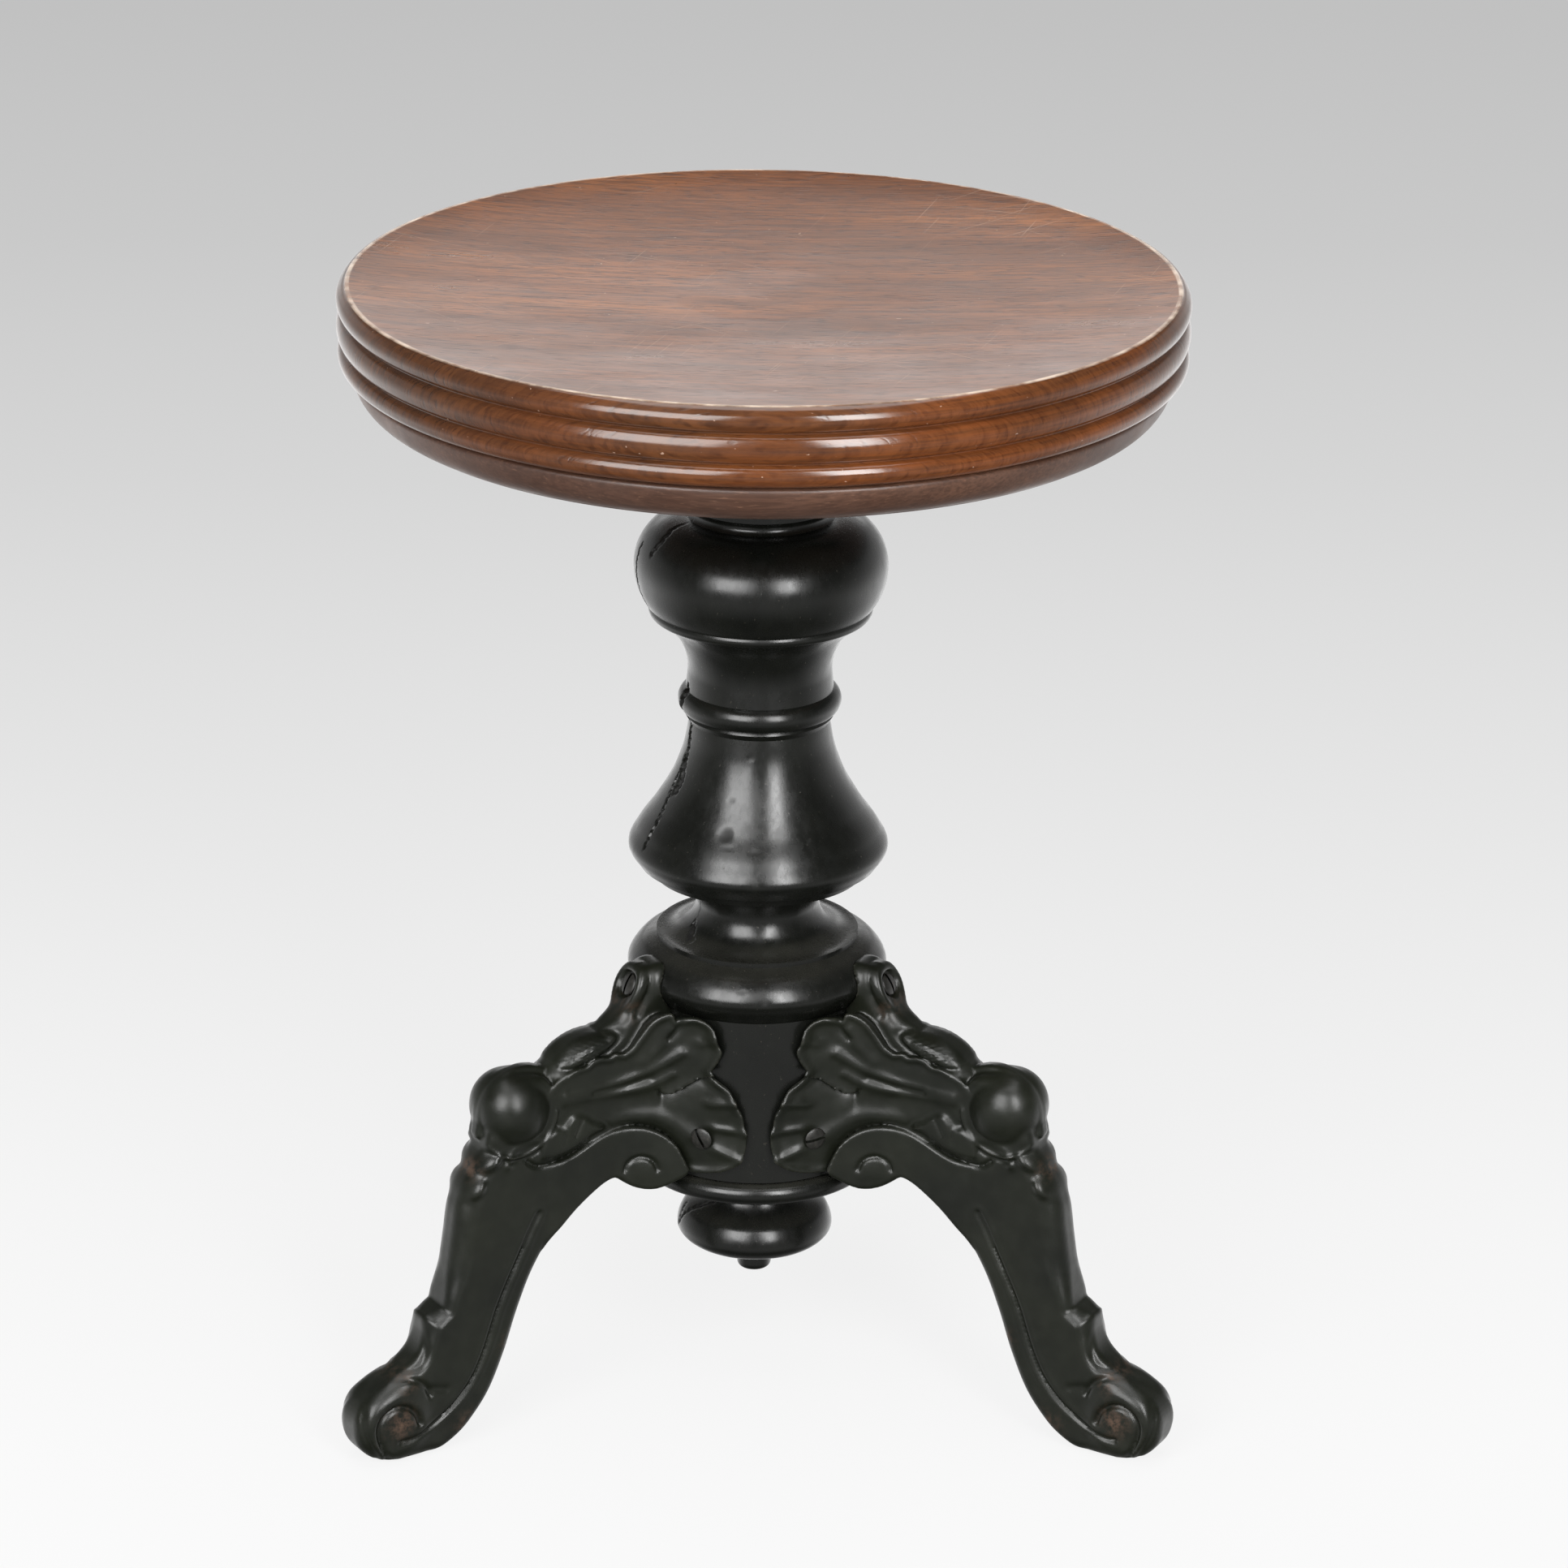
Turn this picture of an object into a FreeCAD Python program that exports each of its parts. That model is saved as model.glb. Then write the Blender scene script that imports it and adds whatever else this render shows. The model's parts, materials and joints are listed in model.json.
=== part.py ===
import FreeCAD, Part
import math
import os
from FreeCAD import Vector

# All sizes are in mm. The stool is drawn round the column's axis, with the floor at z = 0,
# and moved at the end so that the middle of its footprint lies at the origin.

# seat
seat_r = 175.0
seat_top_z = 488.0
seat_bottom_z = 455.0
seat_groove_r = 172.2
seat_grooves_z = (477.0, 464.5)
seat_rim_r = 163.0
seat_dish = 6.0
underplate_r = 169.0
underplate_foot_r = 157.5
underplate_bottom_z = 437.5

# column
column_top_z = 398.0
column_bottom_z = 95.6
bulb_r = 53.0
bulb_z = 366.0
neck_r = 30.3
bell_r = 54.8
bell_z = 242.0
waist_r = 26.0
torus_r = 55.0
torus_z = 189.0
drum_r = 48.0
drum_top_z = 178.5
drum_bottom_z = 105.5
bore_r = 13.6
bore_bottom_z = 258.0

# seat screw
pitch = 6.0
turns = 16
spindle_r = 11.0
running_clearance = 0.06
nut_barrel_r = 17.0
nut_length = 30.0
nut_plate_r = 27.0
nut_plate_t = 4.0
nut_screw_ring_r = 21.8
hub_r = 18.0
hub_gap = 0.4
arm_reach = 72.0
arm_w = 24.0
arm_t = 6.0
arm_count = 4
spindle_top_z = 434.0
pin_r = 2.5
pin_z = 409.0
washer_r = 13.0
washer_t = 3.0
washer_gap = 0.3
stop_shoulder_r = 4.0
stop_head_r = 8.0
stop_head_t = 5.0
stop_shank_length = 18.0

# screws
wood_screw_r = 2.3
wood_screw_head_r = 4.8
wood_screw_head_t = 3.0
slot_w = 1.2
slot_depth = 1.1
slot_step_deg = 47.0
nut_screw_length = 22.0
nut_screw_count = 3
nut_screw_first_deg = 30.0
flange_screw_length = 20.0
underplate_screw_length = 38.0
underplate_screw_count = 6
underplate_screw_first_deg = 15.0
underplate_screw_ring_r = 125.0

# finial
finial_r = 33.2
finial_z = 66.0
finial_bottom_z = 59.4
nib_r = 7.3
nib_bottom_z = 45.4
spigot_r = 9.0
spigot_top_z = 128.0

# legs
leg_angles = {"leg_left": 210.0, "leg_right": 330.0, "leg_rear": 90.0}
leg_half_w = 11.0
leg_edge_r = 5.0
leg_long_edge = 75.0
leaf_r = 51.6
leaf_span_deg = 54.0
web_end = 86.0
knee_centre = (119.3, 146.4)
knee_r = 17.2
volute_centre = (58.0, 111.0)
volute_r = 11.7
volute_half_w = 12.5
toe_centre = (182.6, 18.2)
toe_r = 14.5
toe_half_w = 12.0
tab_screw_z = 190.0
tab_screw_at = 63.2
tab_screw_tilt = 24.0
tab_screw_length = 30.0
leaf_screw_deg = 33.2
leaf_screw_z = 126.0
leaf_screw_length = 24.0


def upright(a, z):
    return Vector(a, 0, z)


def level(a, b):
    return Vector(a, b, 0)


def across(b, z):
    return Vector(0, b, z)


def curve(points):
    spline = Part.BSplineCurve()
    spline.interpolate(points)
    return spline.toShape()


def run(points, place=upright):
    # Edges through a list of (a, b) points. A point ends a straight run, a pair of points is an
    # arc through the first to the second, and a list of points is a smooth curve through them.
    edges = []
    start = place(*points[0])
    for step in points[1:]:
        if isinstance(step, list):
            bend = [place(*point) for point in step]
            edges.append(curve([start] + bend))
            start = bend[-1]
        elif isinstance(step[0], tuple):
            middle, end = [place(*point) for point in step]
            edges.append(Part.Arc(start, middle, end).toShape())
            start = end
        else:
            end = place(*step)
            edges.append(Part.makeLine(start, end))
            start = end
    return edges


def turned(points):
    # A solid of revolution about the Z axis. The outline's ends lie on the axis.
    edges = run(points)
    top = edges[-1].valueAt(edges[-1].LastParameter)
    edges.append(Part.makeLine(top, upright(*points[0])))
    face = Part.Face(Part.Wire(edges))
    return face.revolve(Vector(0, 0, 0), Vector(0, 0, 1), 360)


def rod(radius, low_z, high_z):
    return Part.makeCylinder(radius, high_z - low_z, Vector(0, 0, low_z))


def turned_about_z(shape, degrees):
    copy = shape.copy()
    copy.rotate(Vector(0, 0, 0), Vector(0, 0, 1), degrees)
    return copy


def ring_of(shapes, first_deg=0.0):
    # The shapes are drawn on the X axis, and are spread evenly round the Z axis.
    step = 360.0 / len(shapes)
    return Part.makeCompound([turned_about_z(shape, first_deg + i * step) for i, shape in enumerate(shapes)])


def cut_all(shape, tools):
    for tool in tools:
        shape = shape.cut(tool)
    return shape


def wood_screw(length):
    # A slotted countersunk screw: the head's face lies at z = 0 and the shank points down.
    neck = Vector(0, 0, -wood_screw_head_t)
    cone = Part.makeCone(wood_screw_r, wood_screw_head_r, wood_screw_head_t, neck)
    tip = wood_screw_r * 2
    shank = rod(wood_screw_r, tip - length, -wood_screw_head_t)
    point = Part.makeCone(0.3, wood_screw_r, tip, Vector(0, 0, -length))
    return cone.fuse([shank, point]).removeSplitter()


def slot_cutter(turn_deg):
    wide = wood_screw_head_r * 2 + 2
    box = Part.makeBox(wide, slot_w, slot_depth + 1, Vector(-wide / 2, -slot_w / 2, -slot_depth))
    return turned_about_z(box, turn_deg)


def slotted(blank, turn_deg):
    return blank.cut(slot_cutter(turn_deg))


def facing_down(shape):
    copy = shape.copy()
    copy.rotate(Vector(0, 0, 0), Vector(1, 0, 0), 180)
    return copy


def facing_out(shape, reach, z, tilt_deg=0.0):
    # Turns a part that faces +Z so that it faces +X, tilted up, with its face at that place.
    copy = shape.copy()
    copy.rotate(Vector(0, 0, 0), Vector(0, 1, 0), 90 - tilt_deg)
    copy.translate(Vector(reach, 0, z))
    return copy


def seat_top():
    groove_high, groove_low = seat_grooves_z
    bead_middle = (groove_high + groove_low) / 2
    low_bead = (groove_low + seat_bottom_z) / 2
    dish_z = seat_top_z - seat_dish
    return turned([
        (0, seat_bottom_z),
        (seat_groove_r - 1, seat_bottom_z),
        ((seat_r - 0.4, low_bead), (seat_groove_r, groove_low)),
        ((seat_r, bead_middle), (seat_groove_r, groove_high)),
        ((seat_r, groove_high + 4.5), (seat_r - 6, seat_top_z)),
        (seat_rim_r, seat_top_z),
        ((seat_rim_r * 0.65, dish_z + seat_dish * 0.33), (seat_rim_r * 0.25, dish_z)),
        (0, dish_z),
    ])


def seat_underplate():
    belly = ((underplate_r + underplate_foot_r) / 2 + 2.6, underplate_bottom_z + 6.5)
    plate = turned([
        (0, underplate_bottom_z),
        (underplate_foot_r, underplate_bottom_z),
        (belly, (underplate_r, seat_bottom_z - 2.5)),
        (underplate_r, seat_bottom_z),
        (0, seat_bottom_z),
    ])
    return plate


def spindle_flange():
    hub = rod(hub_r, column_top_z + hub_gap, underplate_bottom_z)
    arm_low_z = underplate_bottom_z - arm_t
    arm = Part.makeBox(arm_reach - arm_w / 2, arm_w, arm_t, Vector(0, -arm_w / 2, arm_low_z))
    pad = Part.makeCylinder(arm_w / 2, arm_t, Vector(arm_reach - arm_w / 2, 0, arm_low_z))
    arms = [turned_about_z(piece, i * 360.0 / arm_count) for i in range(arm_count) for piece in (arm, pad)]
    collar = Part.makeCone(hub_r, hub_r + 14, 14, Vector(0, 0, arm_low_z - 14))
    spider = hub.fuse(arms + [collar]).removeSplitter()
    return spider.cut(rod(spindle_r, 0, spindle_top_z))


def spindle():
    foot_z = spindle_foot_z()
    thread = rod(spindle_r, foot_z, spindle_top_z)
    return thread.cut(rod(stop_shoulder_r, foot_z - 1, foot_z + stop_shank_length))


def spindle_foot_z():
    # At full height the washer's top is half a millimetre under the nut.
    return column_top_z - nut_length - pitch * turns - 0.5 + washer_gap


def spindle_pin():
    return Part.makeCylinder(pin_r, hub_r * 2, Vector(-hub_r, 0, pin_z), Vector(1, 0, 0))


def stop_washer():
    top_z = spindle_foot_z() - washer_gap
    disc = rod(washer_r, top_z - washer_t, top_z)
    return disc.cut(rod(stop_shoulder_r + running_clearance, 0, column_top_z))


def stop_screw():
    foot_z = spindle_foot_z()
    head_top_z = foot_z - washer_t - 2 * washer_gap
    shank = rod(stop_shoulder_r, head_top_z, foot_z + stop_shank_length)
    head = rod(stop_head_r, head_top_z - stop_head_t, head_top_z)
    slot = Part.makeBox(4 * stop_head_r, 2, 2, Vector(-2 * stop_head_r, -1, head_top_z - stop_head_t - 0.5))
    return shank.fuse(head).removeSplitter().cut(slot)


def spindle_nut():
    plate = rod(nut_plate_r, column_top_z - nut_plate_t, column_top_z)
    barrel = rod(nut_barrel_r, column_top_z - nut_length, column_top_z)
    return plate.fuse(barrel).removeSplitter().cut(rod(spindle_r + running_clearance, 0, column_top_z + 1))


def in_nut(screw):
    return screw.translated(Vector(nut_screw_ring_r, 0, column_top_z))


def under_flange(screw):
    return facing_down(screw).translated(Vector(arm_reach - arm_w / 2, 0, underplate_bottom_z - arm_t))


def under_plate(screw):
    return facing_down(screw).translated(Vector(underplate_screw_ring_r, 0, underplate_bottom_z))


def screw_holes(place, length, count, first_deg):
    return ring_of([place(wood_screw(length))] * count, first_deg)


def screw_ring(place, length, count, first_deg):
    # Driven screws, with their slots left at different angles.
    screws = [place(slotted(wood_screw(length), i * slot_step_deg)) for i in range(count)]
    return ring_of(screws, first_deg)


def column_outline():
    # From the top down: cap, bulb, collar, neck, bead, bell, waist, cove, torus, drum, flange.
    return [
        (0, column_top_z),
        (32.0, column_top_z),
        (32.0, column_top_z - 4.4),
        ((29.6, 390.8), (31.0, 388.0)),
        ((46.6, 381.6), (bulb_r, bulb_z)),
        ((51.5, 357.0), (47.2, 349.2)),
        (46.4, 348.4),
        ((46.8, 346.4), (45.4, 344.6)),
        ((33.6, 333.5), (neck_r, 320.0)),
        (31.0, 312.2),
        ((34.3, 306.6), (30.6, 301.6)),
        (31.2, 300.6),
        (29.6, 298.0),
        [(31.6, 287.0), (36.2, 274.0), (43.6, 261.0),
         (51.2, 250.0), (bell_r, bell_z), (50.6, 234.8)],
        (46.6, 233.6),
        (44.8, 230.2),
        ((31.0, 227.0), (waist_r, 216.0)),
        ((30.6, 207.0), (41.4, 203.6)),
        (42.7, 203.6),
        (42.7, 201.6),
        [(49.6, 198.2), (torus_r, torus_z), (49.0, 179.4)],
        (drum_r, drum_top_z),
        (drum_r, drum_bottom_z),
        (46.6, 104.6),
        ((51.8, 100.0), (47.0, column_bottom_z)),
        (0, column_bottom_z),
    ]


def column():
    wood = turned(column_outline())
    bore = rod(bore_r, bore_bottom_z, column_top_z + 1)
    seating = rod(nut_plate_r, column_top_z - nut_plate_t, column_top_z + 1)
    barrel = rod(nut_barrel_r, column_top_z - nut_length, column_top_z + 1)
    socket = rod(spigot_r, column_bottom_z - 1, spigot_top_z)
    return cut_all(wood, [bore, seating, barrel, socket])


def finial():
    return turned([
        (0, nib_bottom_z),
        (nib_r - 2.6, nib_bottom_z),
        ((nib_r - 0.7, nib_bottom_z + 0.9), (nib_r, nib_bottom_z + 3.0)),
        (nib_r, finial_bottom_z + 0.6),
        (17.0, finial_bottom_z),
        [(28.6, 61.0), (finial_r, finial_z), (31.0, 74.4), (25.6, 79.0)],
        ((22.0, 84.0), (24.4, column_bottom_z)),
        (spigot_r, column_bottom_z),
        (spigot_r, spigot_top_z),
        (0, spigot_top_z),
    ])


def leg_side_outline():
    # The leg seen square from its side: the distance from the column's axis, and the height.
    return Part.Wire(run([
        (46.0, 176.0),
        (46.0, 196.0),
        ((54.5, 199.2), (60.0, 195.6)),
        [(65.5, 186.5), (72.0, 178.0), (80.0, 173.8)],
        ((95.0, 170.6), (106.4, 159.6)),
        ((121.5, 163.3), (135.8, 142.5)),
        [(137.4, 134.0), (147.6, 113.0), (150.8, 96.0), (153.2, 79.0), (156.2, 64.2)],
        (164.0, 61.6),
        ((166.0, 50.0), (173.0, 41.4)),
        [(186.0, 34.6), (196.6, 27.2), (198.8, 17.0), (192.6, 5.0), (180.0, 0.0)],
        (168.0, 0.0),
        [(152.4, 4.6), (136.4, 21.6), (127.0, 42.4), (116.6, 70.0),
         (101.4, 91.6), (88.0, 103.2), (77.0, 108.8)],
        (67.6, 104.4),
        ((58.0, volute_centre[1] - volute_r), (46.6, 108.0)),
        (46.0, 176.0),
    ]))


def leg_front_arch():
    # The leg seen from in front: parallel sides, and a rounded tip on the tab.
    side_top = 184.0
    tip_z = 198.4
    edges = run([
        (-leg_half_w, -1.0),
        (-leg_half_w, side_top),
        ((0.0, tip_z), (leg_half_w, side_top)),
        (leg_half_w, -1.0),
        (-leg_half_w, -1.0),
    ], across)
    return Part.Face(Part.Wire(edges)).extrude(Vector(seat_r * 2, 0, 0))


def leg_blade():
    face = Part.Face(leg_side_outline())
    face.translate(Vector(0, -leg_half_w, 0))
    blade = face.extrude(Vector(0, 2 * leg_half_w, 0))
    long_edges = [edge for edge in blade.Edges if edge.Length > leg_long_edge]
    return blade.makeFillet(leg_edge_r, long_edges).common(leg_front_arch())


def leaf_side_outline():
    # The two lobes of the flange, and the web that joins them to the leg.
    return Part.Wire(run([
        (web_end, 160.0),
        (52.0, 174.0),
        ((44.5, 180.4), (39.2, 166.0)),
        (41.0, 156.4),
        ((31.6, 139.0), (33.4, 113.4)),
        ((38.0, 109.4), (48.0, 108.6)),
        ((56.0, 124.4), (web_end, 125.0)),
        (web_end, 160.0),
    ]))


def leaf_plan():
    # Seen from above: round the drum, then drawn in to the blade.
    span = math.radians(leaf_span_deg)
    near = math.radians(24.0)
    tip = (leaf_r * math.cos(span), leaf_r * math.sin(span))
    shoulder = (leaf_r * math.cos(near), leaf_r * math.sin(near))
    middle = (leaf_r * math.cos((span + near) / 2), leaf_r * math.sin((span + near) / 2))
    sweep = (56.5, 14.6)
    half = [(tip[0], 0), tip, (middle, shoulder), (sweep, (web_end, leg_half_w - 1)), (web_end, 0)]
    edges = run(half + [half[0]], level)
    side = Part.Face(Part.Wire(edges)).extrude(Vector(0, 0, seat_top_z))
    other = side.mirror(Vector(0, 0, 0), Vector(0, 1, 0))
    return side.fuse(other)


def leaf_flange():
    face = Part.Face(leaf_side_outline())
    face.translate(Vector(0, -leaf_r, 0))
    return face.extrude(Vector(0, 2 * leaf_r, 0)).common(leaf_plan())


def boss(centre, radius, half_w):
    place = Vector(centre[0], -half_w, centre[1])
    return Part.makeCylinder(radius, 2 * half_w, place, Vector(0, 1, 0))


def leg_casting(wood):
    # A leg that points along +X.
    knee = Part.makeSphere(knee_r, upright(*knee_centre))
    scroll = boss(volute_centre, volute_r, volute_half_w)
    toe = boss(toe_centre, toe_r, toe_half_w)
    leg = leg_blade().fuse([leaf_flange(), knee, scroll, toe])
    return leg.cut(wood).removeSplitter()


def tab_screw_blank():
    return facing_out(wood_screw(tab_screw_length), tab_screw_at, tab_screw_z, tab_screw_tilt)


def leaf_screw_blanks():
    screw = facing_out(wood_screw(leaf_screw_length), leaf_r, leaf_screw_z)
    return [turned_about_z(screw, side * leaf_screw_deg) for side in (-1, 1)]


def tab_screw():
    screw = slotted(wood_screw(tab_screw_length), 8)
    return facing_out(screw, tab_screw_at, tab_screw_z, tab_screw_tilt)


def leaf_screws():
    screws = []
    for side, turn in ((-1, 62), (1, 100)):
        screw = facing_out(slotted(wood_screw(leaf_screw_length), turn), leaf_r, leaf_screw_z)
        screws.append(turned_about_z(screw, side * leaf_screw_deg))
    return Part.makeCompound(screws)


def seat_parts():
    pin = spindle_pin()
    flange_ring = (under_flange, flange_screw_length, arm_count, 0.0)
    plate_ring = (under_plate, underplate_screw_length, underplate_screw_count, underplate_screw_first_deg)
    flange_holes = screw_holes(*flange_ring)
    plate_holes = screw_holes(*plate_ring)
    return {
        "seat_top": seat_top().cut(plate_holes),
        "seat_underplate": cut_all(seat_underplate(), [plate_holes, flange_holes]),
        "underplate_screws": screw_ring(*plate_ring),
        "spindle_flange": cut_all(spindle_flange(), [flange_holes, pin]),
        "flange_screws": screw_ring(*flange_ring),
        "spindle": spindle().cut(pin),
        "spindle_pin": pin,
        "stop_washer": stop_washer(),
        "stop_screw": stop_screw(),
    }


def stand_parts():
    wood = column()
    nut_ring = (in_nut, nut_screw_length, nut_screw_count, nut_screw_first_deg)
    nut_holes = screw_holes(*nut_ring)
    leg_blanks = [tab_screw_blank()] + leaf_screw_blanks()
    casting = cut_all(leg_casting(turned(column_outline())), leg_blanks)
    parts = {
        "spindle_nut": spindle_nut().cut(nut_holes),
        "nut_screws": screw_ring(*nut_ring),
        "finial": finial(),
    }
    for name, angle in leg_angles.items():
        parts[name] = turned_about_z(casting, angle)
        parts[name + "_tab_screw"] = turned_about_z(tab_screw(), angle)
        parts[name + "_leaf_screws"] = turned_about_z(leaf_screws(), angle)
        wood = cut_all(wood, [turned_about_z(blank, angle) for blank in leg_blanks])
    parts["column"] = wood.cut(nut_holes)
    return parts


def footprint_centre(parts):
    # The seat reaches furthest forwards, and the rear toe furthest back.
    rear_reach = parts["leg_rear"].optimalBoundingBox().YMax
    return Vector(0, (rear_reach - seat_r) / 2, 0)


def main():
    os.makedirs("parts", exist_ok=True)
    parts = {**seat_parts(), **stand_parts()}
    centre = footprint_centre(parts)
    print("column axis at", round(-centre.x, 4), round(-centre.y, 4))
    for name, shape in parts.items():
        shape.translate(centre * -1)
        print(name, "valid", shape.isValid(), "solids", len(shape.Solids), "mm3", round(shape.Volume))
        shape.exportStep("parts/" + name + ".step")


main()
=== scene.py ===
import json
import math

import bpy
import numpy as np
from mathutils import Matrix, Vector


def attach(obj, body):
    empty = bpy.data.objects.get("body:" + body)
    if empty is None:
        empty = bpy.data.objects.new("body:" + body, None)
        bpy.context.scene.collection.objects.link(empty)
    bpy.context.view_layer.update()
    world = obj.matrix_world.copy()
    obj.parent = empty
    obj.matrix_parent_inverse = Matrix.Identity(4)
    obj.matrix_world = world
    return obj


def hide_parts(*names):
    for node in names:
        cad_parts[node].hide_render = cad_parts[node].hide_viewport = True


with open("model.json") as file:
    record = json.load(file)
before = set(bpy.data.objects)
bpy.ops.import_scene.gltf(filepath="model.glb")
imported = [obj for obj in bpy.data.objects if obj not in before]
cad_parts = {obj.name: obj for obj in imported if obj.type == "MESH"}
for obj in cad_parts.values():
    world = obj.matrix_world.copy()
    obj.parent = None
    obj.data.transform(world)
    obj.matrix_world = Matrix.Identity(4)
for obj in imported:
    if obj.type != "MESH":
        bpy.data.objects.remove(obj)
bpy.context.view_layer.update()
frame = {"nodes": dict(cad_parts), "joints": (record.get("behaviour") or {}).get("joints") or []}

mm = 0.001
hinge = next(joint for joint in frame["joints"] if joint["name"] == "seat_turn")
axisX, axisY = hinge["pos_m"][0] / mm, hinge["pos_m"][1] / mm  # the column stands here


# Shared helpers. Sizes in the dictionaries are in mm, and heights are above the floor.
def hexColour(text):
    # sRGB hex to the linear colour that shaders take
    channels = [int(text[i:i + 2], 16) / 255 for i in (1, 3, 5)]
    return tuple(c / 12.92 if c < 0.04045 else ((c + 0.055) / 1.055) ** 2.4 for c in channels) + (1,)


# each kind of node: its type, its fixed settings, the order its values come in and the output it hands on
kinds = {
    "place": ("ShaderNodeTexCoord", {}, (), "Object"),
    "way": ("ShaderNodeTexCoord", {}, (), "Generated"),
    "shape": ("ShaderNodeNewGeometry", {}, (), "Normal"),
    "mark": ("ShaderNodeAttribute", {}, ("attribute_name",), "Fac"),
    "split": ("ShaderNodeSeparateXYZ", {}, ("Vector",), 0),
    "gather": ("ShaderNodeCombineXYZ", {}, ("X", "Y", "Z"), 0),
    "stretch": ("ShaderNodeMapping", {"vector_type": "TEXTURE"}, ("Vector", "Scale", "Rotation"), 0),
    "noise": ("ShaderNodeTexNoise", {"Scale": 1.0}, ("Vector", "Detail", "Roughness"), 0),
    "wander": ("ShaderNodeTexNoise", {"Detail": 1.0}, ("Vector", "Scale"), "Color"),
    "shift": ("ShaderNodeVectorMath", {"operation": "MULTIPLY_ADD"}, (0, 1, 2), 0),
    "ramp": ("ShaderNodeValToRGB", {}, ("Fac", "stops"), 0),
    "limits": ("ShaderNodeMapRange", {}, ("Value", "From Min", "From Max"), 0),
    "mix": ("ShaderNodeMix", {"data_type": "RGBA"}, (0, 6, 7), 2),
    "bump": ("ShaderNodeBump", {"Strength": 1.0}, ("Height", "Distance", "Normal"), 0),
    "glow": ("ShaderNodeEmission", {}, ("Color", "Strength"), 0),
    "matt": ("ShaderNodeBsdfDiffuse", {}, ("Color",), 0),
    "both": ("ShaderNodeMixShader", {}, (0, 1, 2), 0),
    "air": ("ShaderNodeBackground", {"Strength": 1.0}, ("Color",), 0),
    "maths": ("ShaderNodeMath", {}, ("operation", 0, 1, 2), 0),
    "ball": ("GeometryNodeMeshUVSphere", {"Segments": 40, "Rings": 24}, ("Radius",), 0),
    "cone": ("GeometryNodeMeshCone", {}, ("Vertices", "Radius Top", "Radius Bottom", "Depth"), 0),
    "rod": ("GeometryNodeMeshCylinder", {}, ("Vertices", "Radius", "Depth"), 0),
    "block": ("GeometryNodeMeshCube", {}, ("Size",), 0),
    "move": ("GeometryNodeTransform", {}, ("Geometry", "Translation", "Rotation", "Scale"), 0),
    "unite": ("GeometryNodeMeshBoolean", {"operation": "UNION", "solver": "EXACT"}, ("Mesh 2",), 0),
    "carve": ("GeometryNodeMeshBoolean", {"operation": "DIFFERENCE", "solver": "EXACT"},
              ("Mesh 1", "Mesh 2"), 0),
    "join": ("GeometryNodeJoinGeometry", {}, (0,), 0),
    "index": ("GeometryNodeInputIndex", {}, (), 0),
    "points": ("GeometryNodePoints", {}, ("Count", "Position"), 0),
    "copies": ("GeometryNodeInstanceOnPoints", {}, ("Points", "Instance", "Rotation"), 0),
    "spin": ("GeometryNodeRotateInstances", {"Local Space": True}, ("Instances", "Rotation"), 0),
    "real": ("GeometryNodeRealizeInstances", {}, ("Geometry",), 0),
    "dress": ("GeometryNodeSetMaterial", {}, ("Geometry", "Material"), 0),
    "chance": ("FunctionNodeRandomValue", {"data_type": "FLOAT"}, (2, 3, "Seed"), 1),
    "spiral": ("GeometryNodeCurveSpiral", {"Resolution": 64},
               ("Rotations", "Start Radius", "End Radius", "Height"), 0),
    "upright": ("GeometryNodeSetCurveNormal", {"mode": "Z_UP"}, ("Curve",), 0),
    "ridge": ("GeometryNodeCurvePrimitiveQuadrilateral", {"mode": "TRAPEZOID", "Offset": 0.0},
              ("Height", "Bottom Width", "Top Width"), 0),
    "sweep": ("GeometryNodeCurveToMesh", {"Fill Caps": True}, ("Curve", "Profile Curve"), 0),
    "given": ("NodeGroupInput", {}, (), 0),
    "result": ("NodeGroupOutput", {}, ("Geometry",), None),
    "surface": ("ShaderNodeOutputMaterial", {}, ("Surface",), None),
    "world": ("ShaderNodeOutputWorld", {}, ("Surface",), None),
}
sumNames = {"times": "MULTIPLY", "plus": "ADD", "less": "SUBTRACT", "over": "DIVIDE", "most": "MAXIMUM",
            "root": "SQRT", "size": "ABSOLUTE", "cosine": "COSINE", "sine": "SINE",
            "timesPlus": "MULTIPLY_ADD"}


def nodeAdder(tree):
    # makes the one small function that adds a node to this tree
    def add(kind, *values):
        # a value is a socket to link, a list of sockets to link to one input, or a plain setting
        if kind in sumNames:
            kind, values = "maths", (sumNames[kind],) + values
        typeName, fixed, order, gives = kinds[kind]
        made = tree.nodes.new(typeName)
        given = list(fixed.items()) + [pair for pair in zip(order, values) if pair[1] is not None]
        for key, value in given:
            if key == "stops":
                setStops(made.color_ramp.elements, value)
            elif isinstance(key, str) and key not in made.inputs:
                setattr(made, key, value)
        for key, value in given:
            if key == "stops" or isinstance(key, str) and key not in made.inputs:
                continue
            for source in value if isinstance(value, list) else [value]:
                if isinstance(source, bpy.types.NodeSocket):
                    tree.links.new(source, made.inputs[key])
                else:
                    made.inputs[key].default_value = hexColour(source) if isinstance(source, str) else source
        return made if gives is None else made.outputs[gives]
    return add


def setStops(bar, stops):
    while len(bar) < len(stops):
        bar.new(0.5)
    for stop, (spot, shade) in zip(bar, stops):
        stop.position = spot
        stop.color = hexColour(shade) if isinstance(shade, str) else (shade, shade, shade, 1)


def pattern(add, place, sizes, detail=2.0, rough=0.5, turn=0.0, stops=None):
    # noise whose real lengths along X, Y and Z are given in mm, and the shares or colours that it stands for
    angle = (0, 0, math.radians(turn))
    made = add("noise", add("stretch", place, tuple(size * mm for size in sizes), angle), detail, rough)
    return add("ramp", made, stops) if stops else made


def startMaterial(name):
    material = bpy.data.materials.new(name)
    material.use_nodes = True
    add = nodeAdder(material.node_tree)
    return material, add, add("place")


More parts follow.
